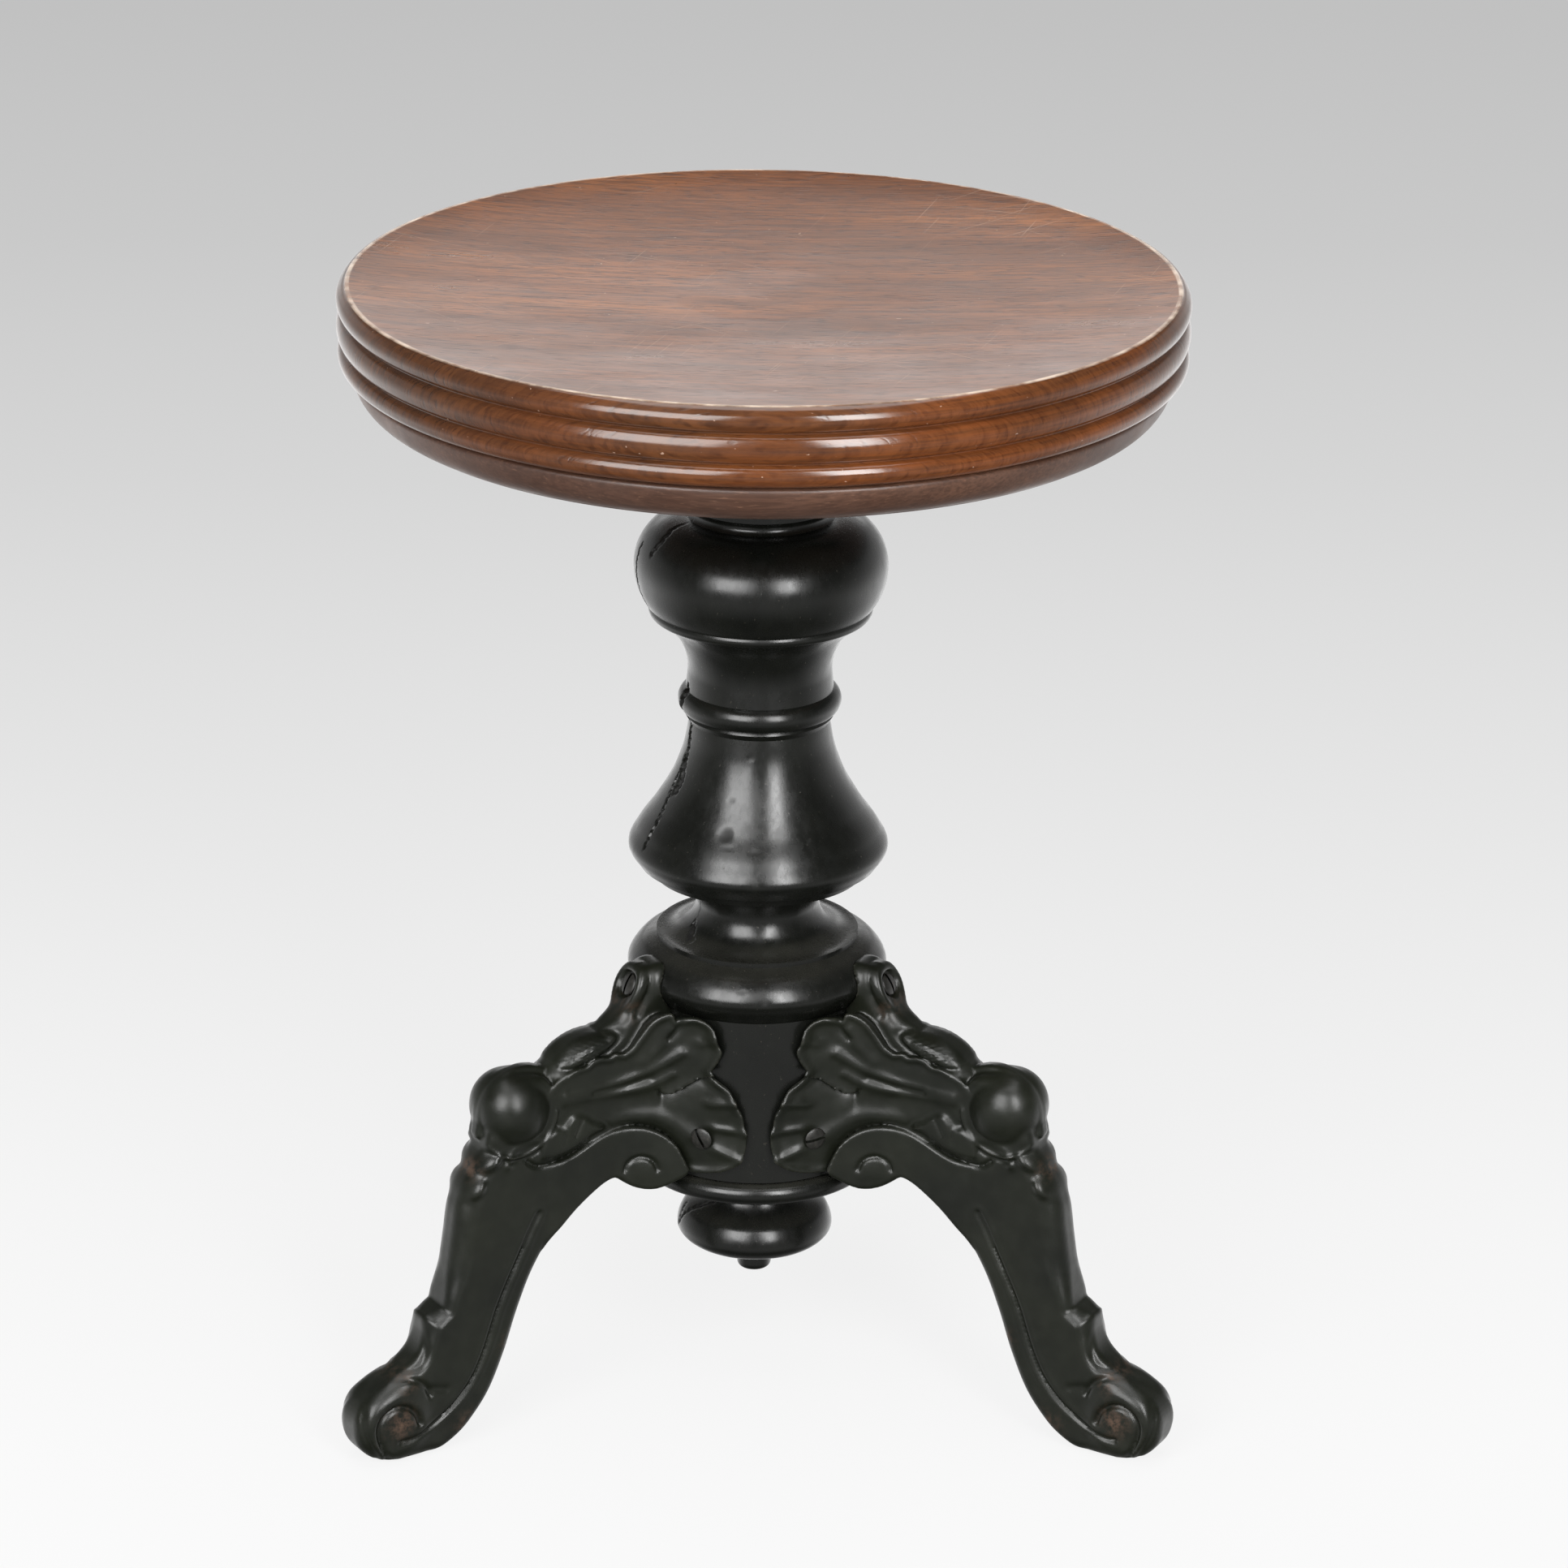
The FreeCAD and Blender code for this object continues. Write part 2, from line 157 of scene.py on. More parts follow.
def finish(material, add, colour, roughness, heights, **values):
    # heights are patterns with their depths in mm, laid one over the other
    tree = material.node_tree
    shader = tree.nodes["Principled BSDF"]
    normal = None
    for height, depth in heights:
        normal = add("bump", height, depth * mm, normal)
    for name, source in (("Base Color", colour), ("Roughness", roughness), ("Normal", normal)):
        tree.links.new(source, shader.inputs[name])
    for name, value in values.items():
        shader.inputs[name].default_value = value
    return material


def coats(add, colour, layers):
    # each layer is where it lies and its colour, over the ones before
    for share, over in layers:
        colour = add("mix", share, colour, over)
    return colour


def traceOutline(steps, spacing):
    # points along an outline: a point ends a straight run, a pair is an arc's middle and end,
    # and a list is a smooth curve through its points
    traced = [np.array(steps[0], float)]
    for step in steps[1:]:
        start = traced[-1]
        if isinstance(step, list):
            traced += curveThrough([start] + [np.array(p, float) for p in step], spacing)
        elif isinstance(step[0], tuple):
            traced += arcThrough(start, np.array(step[0], float), np.array(step[1], float), spacing)
        else:
            end = np.array(step, float)
            count = max(1, math.ceil(np.linalg.norm(end - start) / spacing))
            traced += [start + (end - start) * i / count for i in range(1, count + 1)]
    return np.array(traced)


def arcThrough(start, middle, end, spacing):
    lhs = 2 * np.array([middle - start, end - start])
    rhs = np.array([middle @ middle - start @ start, end @ end - start @ start])
    centre = np.linalg.solve(lhs, rhs)
    first, mid, last = [math.atan2(*(p - centre)[::-1]) for p in (start, middle, end)]
    sweep = (last - first) % math.tau
    if (mid - first) % math.tau > sweep:
        sweep -= math.tau
    radius = np.linalg.norm(start - centre)
    count = max(3, math.ceil(abs(sweep) * radius / spacing))
    turns = [first + sweep * i / count for i in range(1, count)]
    return [centre + radius * np.array([math.cos(a), math.sin(a)]) for a in turns] + [end]


def curveThrough(points, spacing):
    # Catmull-Rom, with its knots spread by the square root of the distance
    points = [2 * points[0] - points[1]] + points + [2 * points[-1] - points[-2]]
    traced = []
    for a, b, c, d in zip(points, points[1:], points[2:], points[3:]):
        k1 = np.linalg.norm(b - a) ** 0.5
        k2 = k1 + np.linalg.norm(c - b) ** 0.5
        k3 = k2 + np.linalg.norm(d - c) ** 0.5
        count = max(2, math.ceil(np.linalg.norm(c - b) / spacing))
        for i in range(1, count + 1):
            t = k1 + (k2 - k1) * i / count
            ab, bc = a + (b - a) * t / k1, b + (c - b) * (t - k1) / (k2 - k1)
            cd = c + (d - c) * (t - k2) / (k3 - k2)
            abc, bcd = ab + (bc - ab) * t / k2, bc + (cd - bc) * (t - k1) / (k3 - k1)
            traced.append(abc + (bcd - abc) * (t - k1) / (k2 - k1))
    return traced


def newPiece(name, points, faces, sharpOver=35.0):
    # points are in mm round the column's axis
    mesh = bpy.data.meshes.new(name)
    placed = (np.array(points, float) + [axisX, axisY, 0]) * mm
    mesh.from_pydata(placed.tolist(), [], faces)
    mesh.polygons.foreach_set("use_smooth", [True] * len(mesh.polygons))
    mesh.set_sharp_from_angle(angle=math.radians(sharpOver))
    mesh.validate()
    piece = bpy.data.objects.new(name, mesh)
    bpy.context.scene.collection.objects.link(piece)
    return piece


def turnedPiece(name, outline, angles, relief=None, sharpOver=35.0):
    # a closed solid of revolution, with its outline's two ends on the axis, and angles or their even number
    if isinstance(angles, int):
        angles = np.linspace(0, math.tau, angles, endpoint=False)
    rings = outline[1:-1]
    count, around = len(rings), len(angles)
    radius = np.repeat(rings[:, :1], around, axis=1)
    height = np.repeat(rings[:, 1:], around, axis=1)
    turn = np.repeat(angles[None, :], count, axis=0)
    if relief is not None:
        radius, height = relief(radius, height, turn)
    ringPoints = np.stack([radius * np.cos(turn), radius * np.sin(turn), height], axis=-1).reshape(-1, 3)
    poles = [[0, 0, outline[0][1]], [0, 0, outline[-1][1]]]
    points = np.vstack([ringPoints, poles])
    first, last = count * around, count * around + 1
    row = np.arange(around)
    after = (row + 1) % around
    faces = []
    for low in range(0, first - around, around):
        high = low + around
        faces += np.stack([low + row, low + after, high + after, high + row], axis=1).tolist()
    faces += np.stack([after, row, np.full(around, first)], axis=1).tolist()
    top = first - around
    faces += np.stack([top + row, top + after, np.full(around, last)], axis=1).tolist()
    if outline[-1][1] < outline[0][1]:
        faces = [face[::-1] for face in faces]
    return newPiece(name, points, faces, sharpOver)


def dress(piece, material, body, nodes=()):
    piece.data.materials.clear()
    piece.data.materials.append(material)
    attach(piece, body)
    if nodes:
        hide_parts(*nodes)
    return piece


def dressNode(name, material):
    # a CAD node that is shown as it is
    mesh = frame["nodes"][name].data
    mesh.materials.clear()
    mesh.materials.append(material)


# Finishes. Limits are where something starts and where it is whole, in metres
wax = {"grain": -4, "topEdge": (0.1712, 0.1705), "rimInside": (0.1691, 0.1697),
       "rimOutside": (0.1716, 0.1709), "rimLevel": (0.4866, 0.487), "paintedShadeFrom": (-0.03, -0.15),
       "paintedShadeShare": 0.75, "sideShare": 0.72, "scratchShare": 0.35, "scratchDull": 0.1, "scratchWide": 0.9,
       "scratches": ((38, 90), (-24, 120), (70, 70), (14, 140), (-48, 90))}


def waxedMahogany():
    # turned mahogany, stained and waxed: soft brown bands with short dark pores, satin where it is sat on
    # and glossy round the beads, with hairline scratches and a pale line along the rim that is partly rubbed
    # wear and partly painted reflection
    material, add, place = startMaterial("waxed mahogany")
    spot = add("split", place).node.outputs
    ahead = add("less", spot["Y"], axisY * mm)
    radius = add("root", add("plus", add("times", spot["X"], spot["X"]), add("times", ahead, ahead)))
    bent = add("shift", add("wander", place, 5.0), (0.0, 0.03, 0.012), place)
    fibre = pattern(add, place, (26, 2.2, 9), 5.0, 0.7, wax["grain"])
    pores = pattern(add, place, (7, 1.1, 5), 1.0, 0.5, wax["grain"], [(0.57, 0.0), (0.7, 0.75)])
    figure = [(0.32, "#5f3a22"), (0.5, "#774828"), (0.68, "#8f5a32")]
    wood = coats(add, pattern(add, bent, (300, 60, 60), 3.0, 0.5, wax["grain"], figure), [
        (pattern(add, bent, (160, 10, 10), 3.0, 0.6, wax["grain"], [(0.36, 0.42), (0.6, 0.0)]), "#523323"),
        (add("ramp", fibre, [(0.4, 0.7), (0.56, 0.0)]), "#42281a"),
        (pores, "#331d13")])
    # the side is redder, where the wax hasn't been rubbed off, and painted shade makes it darker towards the
    # left
    onTop = add("limits", radius, *wax["topEdge"])
    red = pattern(add, place, (110, 110, 60), 1.0, stops=[(0.38, "#3e2413"), (0.62, "#5c2f12")])
    side = coats(add, red, [
        (pattern(add, place, (34, 34, 1.3), 3.0, 0.6, stops=[(0.36, 0.7), (0.6, 0.0)]), "#2c180d"),
        (add("times", add("limits", spot["X"], *wax["paintedShadeFrom"]), wax["paintedShadeShare"]), "#241b15")])
    wood = add("mix", onTop, add("mix", wax["sideShare"], wood, side), wood)
    # hairline scratches at several angles, in patches on the top
    scratches = 0.0
    for turn, length in wax["scratches"]:
        sizes = (length, wax["scratchWide"], 400)
        line = pattern(add, place, sizes, 0.0, 0.5, turn, [(0.79, 0.0), (0.815, 1.0)])
        scratches = add("most", scratches, line)
    patches = pattern(add, place, (70, 70, 70), 1.0, stops=[(0.46, 0.0), (0.66, 1.0)])
    scratches = add("times", add("times", scratches, patches), onTop)
    # a pale line round the rim, partly rubbed wear and partly a painted reflection of the bright
    # surroundings, and pale knocks on the beads
    rim = add("times", add("limits", radius, *wax["rimInside"]), add("limits", radius, *wax["rimOutside"]))
    rimWearAndSheen = pattern(add, place, (14, 14, 14), 4.0, 0.6, stops=[(0.4, 0.15), (0.62, 0.8)])
    wood = coats(add, wood, [
        (add("times", scratches, wax["scratchShare"]), "#c4ab98"),
        (add("times", add("times", rim, rimWearAndSheen), add("limits", spot["Z"], *wax["rimLevel"])), "#cdbba9"),
        (pattern(add, place, (3.2, 3.2, 2.2), stops=[(0.745, 0.0), (0.78, 0.7)]), "#a08573")])
    dull = pattern(add, place, (60, 24, 24), 3.0, stops=[(0.3, 0.27), (0.7, 0.34)])
    glossy = pattern(add, place, (30, 30, 30), 3.0, stops=[(0.3, 0.14), (0.7, 0.22)])
    sheen = add("plus", add("mix", onTop, glossy, dull), add("times", scratches, wax["scratchDull"]))
    return finish(material, add, wood, sheen, [
        (fibre, 0.02), (add("times", pores, -1.0), 0.03), (add("times", scratches, -1.0), 0.01)], IOR=1.5)


def stainedBeech():
    # turned beech under the seat, stained dark and hardly polished: dull, with short flecks
    material, add, place = startMaterial("stained beech")
    fleck = pattern(add, place, (5, 0.9, 0.9), turn=-5)
    fibre = pattern(add, place, (30, 1.2, 1.2), 3.0, 0.6, -5)
    figure = [(0.3, "#3a261d"), (0.5, "#4a3226"), (0.7, "#5b3f30")]
    wood = coats(add, pattern(add, place, (260, 30, 30), 4.0, 0.55, -5, figure), [
        (add("ramp", fibre, [(0.38, 0.5), (0.62, 0.0)]), "#2a1a13"),
        (add("ramp", fleck, [(0.62, 0.0), (0.75, 0.5)]), "#6d4f3d")])
    dull = pattern(add, place, (25, 25, 25), 3.0, stops=[(0.3, 0.34), (0.7, 0.5)])
    return finish(material, add, wood, dull, [(fibre, 0.06), (fleck, 0.03)], IOR=1.5)


def ebonisedWood():
    # hardwood turned on a lathe, stained and polished black: satin, with the grain just felt, and a painted
    # sheen of pale grey on the upward-facing ledges below the bell
    material, add, place = startMaterial("ebonised wood")
    cloud = pattern(add, place, (22, 22, 30), 3.0, 0.55)
    specks = pattern(add, place, (1.1, 1.1, 1.6), stops=[(0.7, 0.0), (0.78, 1.0)])
    facing = add("split", add("shape")).node.outputs["Z"]
    height = add("split", place).node.outputs["Z"]
    # painted sheen: pale grey on the upward-facing ledges, standing in for a grazing reflection of the bright
    # studio
    paintedSheen = add("times", add("ramp", facing, [(0.6, 0.0), (1.0, 0.2)]), add("limits", height, 0.208, 0.206))
    paintedSheen = add("times", paintedSheen, add("ramp", cloud, [(0.3, 0.5), (0.65, 1.0)]))
    # the cracks are painted darker by their depth, as painted shade, and made duller
    hollow = add("mark", "crackDepth")
    black = coats(add, add("ramp", cloud, [(0.3, "#090a08"), (0.7, "#0f100d")]), [
        (add("times", specks, 0.35), "#4a453c"), (paintedSheen, "#55544d"), (hollow, "#080706")])
    satin = pattern(add, place, (5, 5, 9), 5.0, 0.65, stops=[(0.3, 0.21), (0.7, 0.33)])
    return finish(material, add, black, add("plus", satin, add("times", hollow, 0.4)), [
        (pattern(add, place, (1.1, 1.1, 24), 3.0, 0.55), 0.016),
        (pattern(add, place, (14, 14, 18), 1.0), 0.05), (add("times", specks, -1.0), 0.03)], IOR=1.5)


def paintedCastIron():
    # sand-cast iron, painted black: fine grainy skin under a half-gloss coat, paler on the edges, partly
    # paint that hands and feet have rubbed thin and partly painted highlight, painted shade in the hollows
    # and brown where the paint has gone
    material, add, place = startMaterial("painted cast iron")
    waves = pattern(add, place, (7, 7, 7), 3.0, 0.5)
    bent = add("shape").node.outputs["Pointiness"]
    patchy = pattern(add, place, (3.5, 3.5, 3.5), 4.0, 0.7, stops=[(0.42, 0.0), (0.6, 1.0)])
    worn = add("times", add("mark", "wear"), patchy)
    paint = pattern(add, place, (28, 28, 28), 3.0, 0.55, stops=[(0.3, "#0e100b"), (0.7, "#161811")])
    paint = coats(add, paint, [
        # paler on the convex edges: partly paint rubbed thin, partly a painted highlight along the crisp
        # edges
        (add("times", add("ramp", bent, [(0.53, 0.0), (0.6, 0.6)]), patchy), "#3c3a33"),
        # painted shade: darker in the hollows, where the pointiness is low
        (add("ramp", bent, [(0.4, 0.5), (0.48, 0.0)]), "#050604"),
        (worn, add("ramp", waves, [(0.35, "#33241a"), (0.65, "#4b382b")]))])
    gloss = add("plus", add("ramp", waves, [(0.3, 0.29), (0.7, 0.42)]), add("times", worn, 0.2))
    sand = pattern(add, place, (0.9, 0.9, 0.9), 2.0, 0.6)
    return finish(material, add, paint, gloss, [(waves, 0.1), (sand, 0.02)], IOR=1.45)


def brightSteel():
    # rolled and machined steel, left bare and gone grey: drawn lines round it, brown in the hollows
    material, add, place = startMaterial("bare steel")
    stain = pattern(add, place, (8, 8, 8), 4.0, 0.6)
    metal = add("ramp", stain, [(0.35, "#6e6862"), (0.55, "#8b8884"), (0.75, "#5b4f45")])
    drawn = pattern(add, place, (9, 9, 0.35))
    dull = add("ramp", stain, [(0.3, 0.3), (0.7, 0.5)])
    return finish(material, add, metal, dull, [(drawn, 0.01)], Metallic=1.0)


def blackedSteel():
    # slotted screws painted over with the legs: black, rubbed bright on the edges of the slot
    material, add, place = startMaterial("blacked steel screws")
    stain = pattern(add, place, (2, 2, 2), 4.0, 0.6)
    metal = add("ramp", stain, [(0.4, "#171714"), (0.62, "#22211e"), (0.8, "#3d352c")])
    return finish(material, add, metal, add("ramp", stain, [(0.3, 0.3), (0.7, 0.5)]), [(stain, 0.04)])


def dullBrass():
    # cast and turned brass, long unpolished: brown-yellow with darker clouds
    material, add, place = startMaterial("dull brass")
    cloud = pattern(add, place, (9, 9, 9), 4.0, 0.6)
    metal = add("ramp", cloud, [(0.3, "#6a5024"), (0.6, "#a58343"), (0.8, "#b89a5c")])
    turned = pattern(add, place, (12, 12, 0.4), 1.0)
    dull = add("ramp", cloud, [(0.3, 0.5), (0.7, 0.32)])
    return finish(material, add, metal, dull, [(turned, 0.012)], Metallic=1.0)


finishes = {
    "seat": waxedMahogany(),
    "underplate": stainedBeech(),
    "black wood": ebonisedWood(),
    "iron": paintedCastIron(),
    "steel": brightSteel(),
    "screws": blackedSteel(),
    "brass": dullBrass(),
}
print("finishes made")

# The seat: a dished top with three beads round its edge, drawn from below upwards
seat = {"bottom": 455.0, "top": 488.0, "radius": 175.0, "grooves": (464.5, 477.0), "grooveRadius": 171.6,
        "rimRadius": 168.4, "dish": 6.0, "around": 300}


def makeSeat():
    low, high = seat["grooves"]
    r, g, top = seat["radius"], seat["grooveRadius"], seat["top"]
    floorZ = top - seat["dish"]
    outline = traceOutline([
        (0, seat["bottom"]),
        (g - 1.2, seat["bottom"]),
        ((r - 3.0, seat["bottom"] + 0.5), (r - 1.6, seat["bottom"] + 1.7)),
        ((r - 0.4, (seat["bottom"] + low) / 2 + 0.4), (r - 1.9, low - 1.1)),
        (g, low - 0.2),
        (g, low + 0.2),
        (r - 1.7, low + 1.2),
        ((r, (low + high) / 2), (r - 1.7, high - 1.2)),
        (g, high - 0.2),
        (g, high + 0.2),
        (r - 1.7, high + 1.2),
        ((r, high + 5.0), (r - 1.7, high + 9.0)),
        ((r - 2.9, top - 0.6), (r - 4.6, top)),
        [(seat["rimRadius"], top - 0.25), (160.0, top - 1.15), (150.0, top - 2.0), (134.0, top - 3.0),
         (101.0, top - 4.5), (67.0, top - 5.5), (37.0, floorZ)],
        (0, floorZ),
    ], 1.1)
    return turnedPiece("seatTop", outline, seat["around"], wornSeat)


def wornSeat(radius, height, turn):
    # the top is never quite true: a fraction of a millimetre of lilt, more inside the rim
    inner = np.clip(1 - radius / seat["rimRadius"], 0, 1)
    lilt = 0.5 * np.sin(2 * turn + 0.7) * inner * (1 - inner) * 2 * (height > seat["top"] - 8)
    return radius + 0.12 * np.sin(3 * turn + 1.1) * (radius > seat["rimRadius"]) - 0.1, height + lilt


dress(makeSeat(), finishes["seat"], "seat", ["seat_top"])

# The plate under the seat: a shallow turned disc
underplate = {"bottom": 437.5, "top": 454.8, "radius": 169.0, "foot": 157.5, "around": 220}


def makeUnderplate():
    r, foot = underplate["radius"], underplate["foot"]
    low, high = underplate["bottom"], underplate["top"]
    outline = traceOutline([
        (0, low),
        (foot - 1.5, low),
        ((foot - 0.4, low + 0.3), (foot + 0.6, low + 1.0)),
        (((r + foot) / 2 + 2.8, low + 7.2), (r - 0.2, high - 3.2)),
        ((r - 0.3, high - 2.2), (r - 1.2, high - 1.3)),
        (r - 4.0, high),
        (0, high),
    ], 1.6)
    return turnedPiece("seatUnderplate", outline, underplate["around"])


dress(makeUnderplate(), finishes["underplate"], "seat", ["seat_underplate"])
print("seat turned")

# The column and finial are turned from the same black wood
column = {"bore": 13.6, "boreFoot": 258.0, "nutBarrel": 17.02, "nutFoot": 368.0, "nutPlate": 27.02,
          "nutSeat": 394.0, "socket": 9.0, "socketTop": 128.0, "spacing": 1.0, "fineStep": 0.75,
          "coarseStep": 2.0, "crackFrom": 184.0, "crackTo": 226.0, "outside": 28.0, "crackReach": 44.0,
          "ragged": ((0.35, 2.3, 0.0), (0.3, 5.1, 1.0), (0.25, 9.7, 2.0))}
columnSide = [
    (27.02, 398), (32, 398), (32, 393.6), ((29.6, 390.8), (31, 388)), ((46.6, 381.6), (53, 366)),
    ((51.5, 357), (47.2, 349.2)), (46.4, 348.4), ((46.8, 346.4), (45.4, 344.6)), ((33.6, 333.5), (30.3, 320)),
    (31, 312.2), ((34.3, 306.6), (30.6, 301.6)), (31.2, 300.6), (29.6, 298),
    [(31.6, 287), (36.2, 274), (43.6, 261), (51.2, 250), (54.8, 242), (50.6, 234.8)],
    (46.6, 233.6), (44.8, 230.2), ((31, 227), (26, 216)), ((30.6, 207), (41.4, 203.6)),
    (42.7, 203.6), (42.7, 201.6), [(49.6, 198.2), (55, 189), (49, 179.4)], (48, 178.5),
    (48, 105.5), (46.6, 104.6), ((51.8, 100), (47, 95.6)),
]
# cracks and chips: points as (angle from straight right, height), then half width and depth
columnCracks = [
    ([(203, 387), (206, 382), (204, 377)], 0.8, 0.9),
    ([(188, 377), (191, 368), (194, 360), (197, 352)], 0.45, 0.8),
    ([(193, 313.5), (196, 309), (194, 304)], 1.5, 1.7),
    ([(197, 300.5), (196, 295), (198, 289), (199, 283.5)], 0.9, 1.8),
    ([(199, 283.5), (200.5, 279), (203, 275), (202, 270.5)], 1.6, 1.7),
    ([(196, 281), (195.5, 273), (198, 266), (202, 257.5), (205, 247)], 0.4, 0.8),
    ([(201, 221), (200, 214), (199, 209), (207, 205.5), (212, 204.6)], 0.5, 1),
]
# small dents: angle, height, half size and depth
columnDents = [(250.7, 261.2, 2.3, 0.7), (250.8, 273.4, 1, 0.4), (266.8, 255.6, 0.9, 0.35),
               (252.9, 256.4, 0.8, 0.4), (296.5, 257.9, 0.8, 0.3), (262, 290.7, 0.9, 0.3),
               (262, 194.6, 0.9, 0.3), (272, 190, 1.1, 0.35), (31, 250, 1.6, 0.5), (122, 356, 1.8, 0.5),
               (64, 268, 1.2, 0.4), (148, 190, 1.3, 0.4)]


def columnAngles():
    # the rings are finer where the cracks run
    fine = np.arange(column["crackFrom"], column["crackTo"], column["fineStep"])
    coarse = np.arange(column["crackTo"], column["crackFrom"] + 360, column["coarseStep"])
    return np.radians(np.concatenate([fine, coarse]))


def lineGap(across, up, points):
    # distance from each place to the nearest part of a line of points
    nearest = np.full(np.broadcast(across, up).shape, 1e6)
    for (a0, b0), (a1, b1) in zip(points, points[1:]):
        da, db = a1 - a0, b1 - b0
        along = np.clip(((across - a0) * da + (up - b0) * db) / max(da * da + db * db, 1e-9), 0, 1)
        gap = np.hypot(across - a0 - along * da, up - b0 - along * db)
        nearest = np.minimum(nearest, gap)
    return nearest


def sunkCracks(cracks, degrees, reach, height, ragged, lineReach):
    # how deep the cracks go at each place, where the two reaches turn angles into widths
    sunk = np.zeros(degrees.shape)
    for line, half, depth in cracks:
        mid = line[len(line) // 2][0]
        local = [(math.radians(a - mid) * lineReach, z) for a, z in line]
        gap = lineGap(np.radians(degrees - mid) * reach + ragged, height, local)
        sunk = np.maximum(sunk, depth * np.clip(1.5 - gap / half, 0, 1) * (np.abs(degrees - mid) < 40))
    return sunk


def crackedWood(radius, height, turn):
    degrees = np.degrees(turn) % 360
    ragged = sum(size * np.sin(height * rate + start) for size, rate, start in column["ragged"])
    sunk = sunkCracks(columnCracks, degrees, radius, height, ragged, column["crackReach"])
    for angle, z, half, depth in columnDents:
        away = (np.radians(degrees - angle) * radius) ** 2 + (height - z) ** 2
        sunk = np.maximum(sunk, depth * np.exp(-(away / half ** 2) ** 1.5))
    return radius - sunk * (radius > column["outside"]), height


def markCracks(piece, relief):
    # the depth of each crack, for the finish to darken as painted shade
    co = np.zeros(len(piece.data.vertices) * 3)
    piece.data.vertices.foreach_get("co", co)
    spots = co.reshape(-1, 3) / mm - [axisX, axisY, 0]
    turn = np.arctan2(spots[:, 1], spots[:, 0])
    probe = np.full(len(spots), 45.0)  # any radius outside the bores
    sunk = probe - relief(probe, spots[:, 2], turn)[0]
    layer = piece.data.attributes.new("crackDepth", "FLOAT", "POINT")
    layer.data.foreach_set("value", np.clip(sunk / 0.8, 0, 1).astype(np.float32))


def makeColumn():
    bore, barrel, plate = column["bore"], column["nutBarrel"], column["nutPlate"]
    foot, seatZ = column["nutFoot"], column["nutSeat"]
    inner = [(0, column["boreFoot"]), (bore, column["boreFoot"]), (bore, foot), (barrel, foot),
             (barrel, seatZ), (plate, seatZ)]
    socket = [(column["socket"], 95.6), (column["socket"], column["socketTop"]), (0, column["socketTop"])]
    bored = traceOutline(inner + [columnSide[0]], 30.0)
    turned = traceOutline(columnSide, column["spacing"])
    drilled = traceOutline([columnSide[-1][-1]] + socket, 30.0)
    outline = np.vstack([bored, turned[1:], drilled[1:]])
    piece = turnedPiece("columnWood", outline, columnAngles(), crackedWood, 30.0)
    markCracks(piece, crackedWood)
    return piece


finial = {"bottom": 45.4, "top": 128.0, "spigot": 8.95, "around": 200, "outside": 20.0, "crackReach": 30.0}
finialCracks = [([(191, 68.5), (196, 74), (202, 77), (213, 80.5), (222, 82.5)], 0.5, 1),
                ([(186, 76), (190, 71), (188, 66)], 0.4, 0.7)]


def crackedFinial(radius, height, turn):
    reach = finial["crackReach"]
    sunk = sunkCracks(finialCracks, np.degrees(turn) % 360, reach, height, 0.3 * np.sin(height * 4), reach)
    return radius - sunk * (radius > finial["outside"]), height


def makeFinial():
    outline = traceOutline([
        (0, finial["bottom"]),
        (4.6, finial["bottom"]),
        ((6.6, finial["bottom"] + 0.9), (7.3, finial["bottom"] + 3.0)),
        (7.1, 58.0),
        ((7.6, 59.3), (9.5, 59.6)),
        (17.0, 59.5),
        [(24.5, 60.0), (29.4, 61.5), (33.2, 66.0), (31.2, 74.2), (25.7, 79.0)],
        ((22.2, 84.0), (24.4, 95.5)),
        (finial["spigot"], 95.5),
        (finial["spigot"], finial["top"]),
        (0, finial["top"]),
    ], 0.9)
    piece = turnedPiece("finialWood", outline, finial["around"], crackedFinial)
    markCracks(piece, crackedFinial)
    return piece


dress(makeColumn(), finishes["black wood"], "stand", ["column"])
dress(makeFinial(), finishes["black wood"], "stand", ["finial"])
print("column and finial turned")

# A leg is built as a distance field, in mm: s is out from the column's axis, t is sideways and z is up.
# The field is below zero inside the iron, and a net is stretched over its zero level.
leg = {"step": 0.8, "halfWidth": 11.0, "edge": 4.5, "leafRadius": 51.2, "flareRound": 20.0, "flareLong": 1.7,
       "veinWiden": 1.55, "veinRise": 1.15,
       "cushion": (88.6, 167.8), "cushionHalf": (15.0, 4.4), "cushionLean": -15,
       "tabScrew": (62.6, 190.0), "tabLean": 24, "screwRecess": 5.3, "clearance": 0.06,
       "angles": {"leg_left": 210.0, "leg_right": 330.0, "leg_rear": 90.0}}
archFoot = [(73, 106), (69, 103.4), (65, 101.9), (60.6, 101.5), (56.6, 102.7), (52.6, 105.2)]
bladeSide = [
    (44, 176), (44, 195.4), ((54.5, 198.8), (60, 195)),
    [(65.5, 186.5), (72, 178), (80, 173.2)], ((95, 169.8), (106.4, 158.8)),
    ((121, 161.4), (134.2, 143.5)),
    [(135.8, 138), (137.2, 132), (141.4, 124), (145.2, 117), (148.6, 108), (150.8, 94),
     (153.4, 78), (156.4, 64.6)],
    (158.2, 64), (162.6, 61.9), ((164.4, 61.2), (165, 59.6)),
    [(165.6, 53.6), (168.2, 46.6), (173, 41.8), (179, 38.2), (186.6, 34.4), (194, 29.4), (197.8, 23.6),
     (198.7, 17), (196.6, 9.2), (190, 2.6), (180, 0.1)],
    (168, 0.1),
    [(160, 1), (150, 6.4), (143, 13.2), (136, 22.6), (128.6, 38.5), (122, 57), (115, 73),
     (106, 86.8), (96, 97), (86, 104.4), (77.6, 108)],
    [*archFoot, (48.8, 108.8), (46, 114)],
    (44, 176),
]
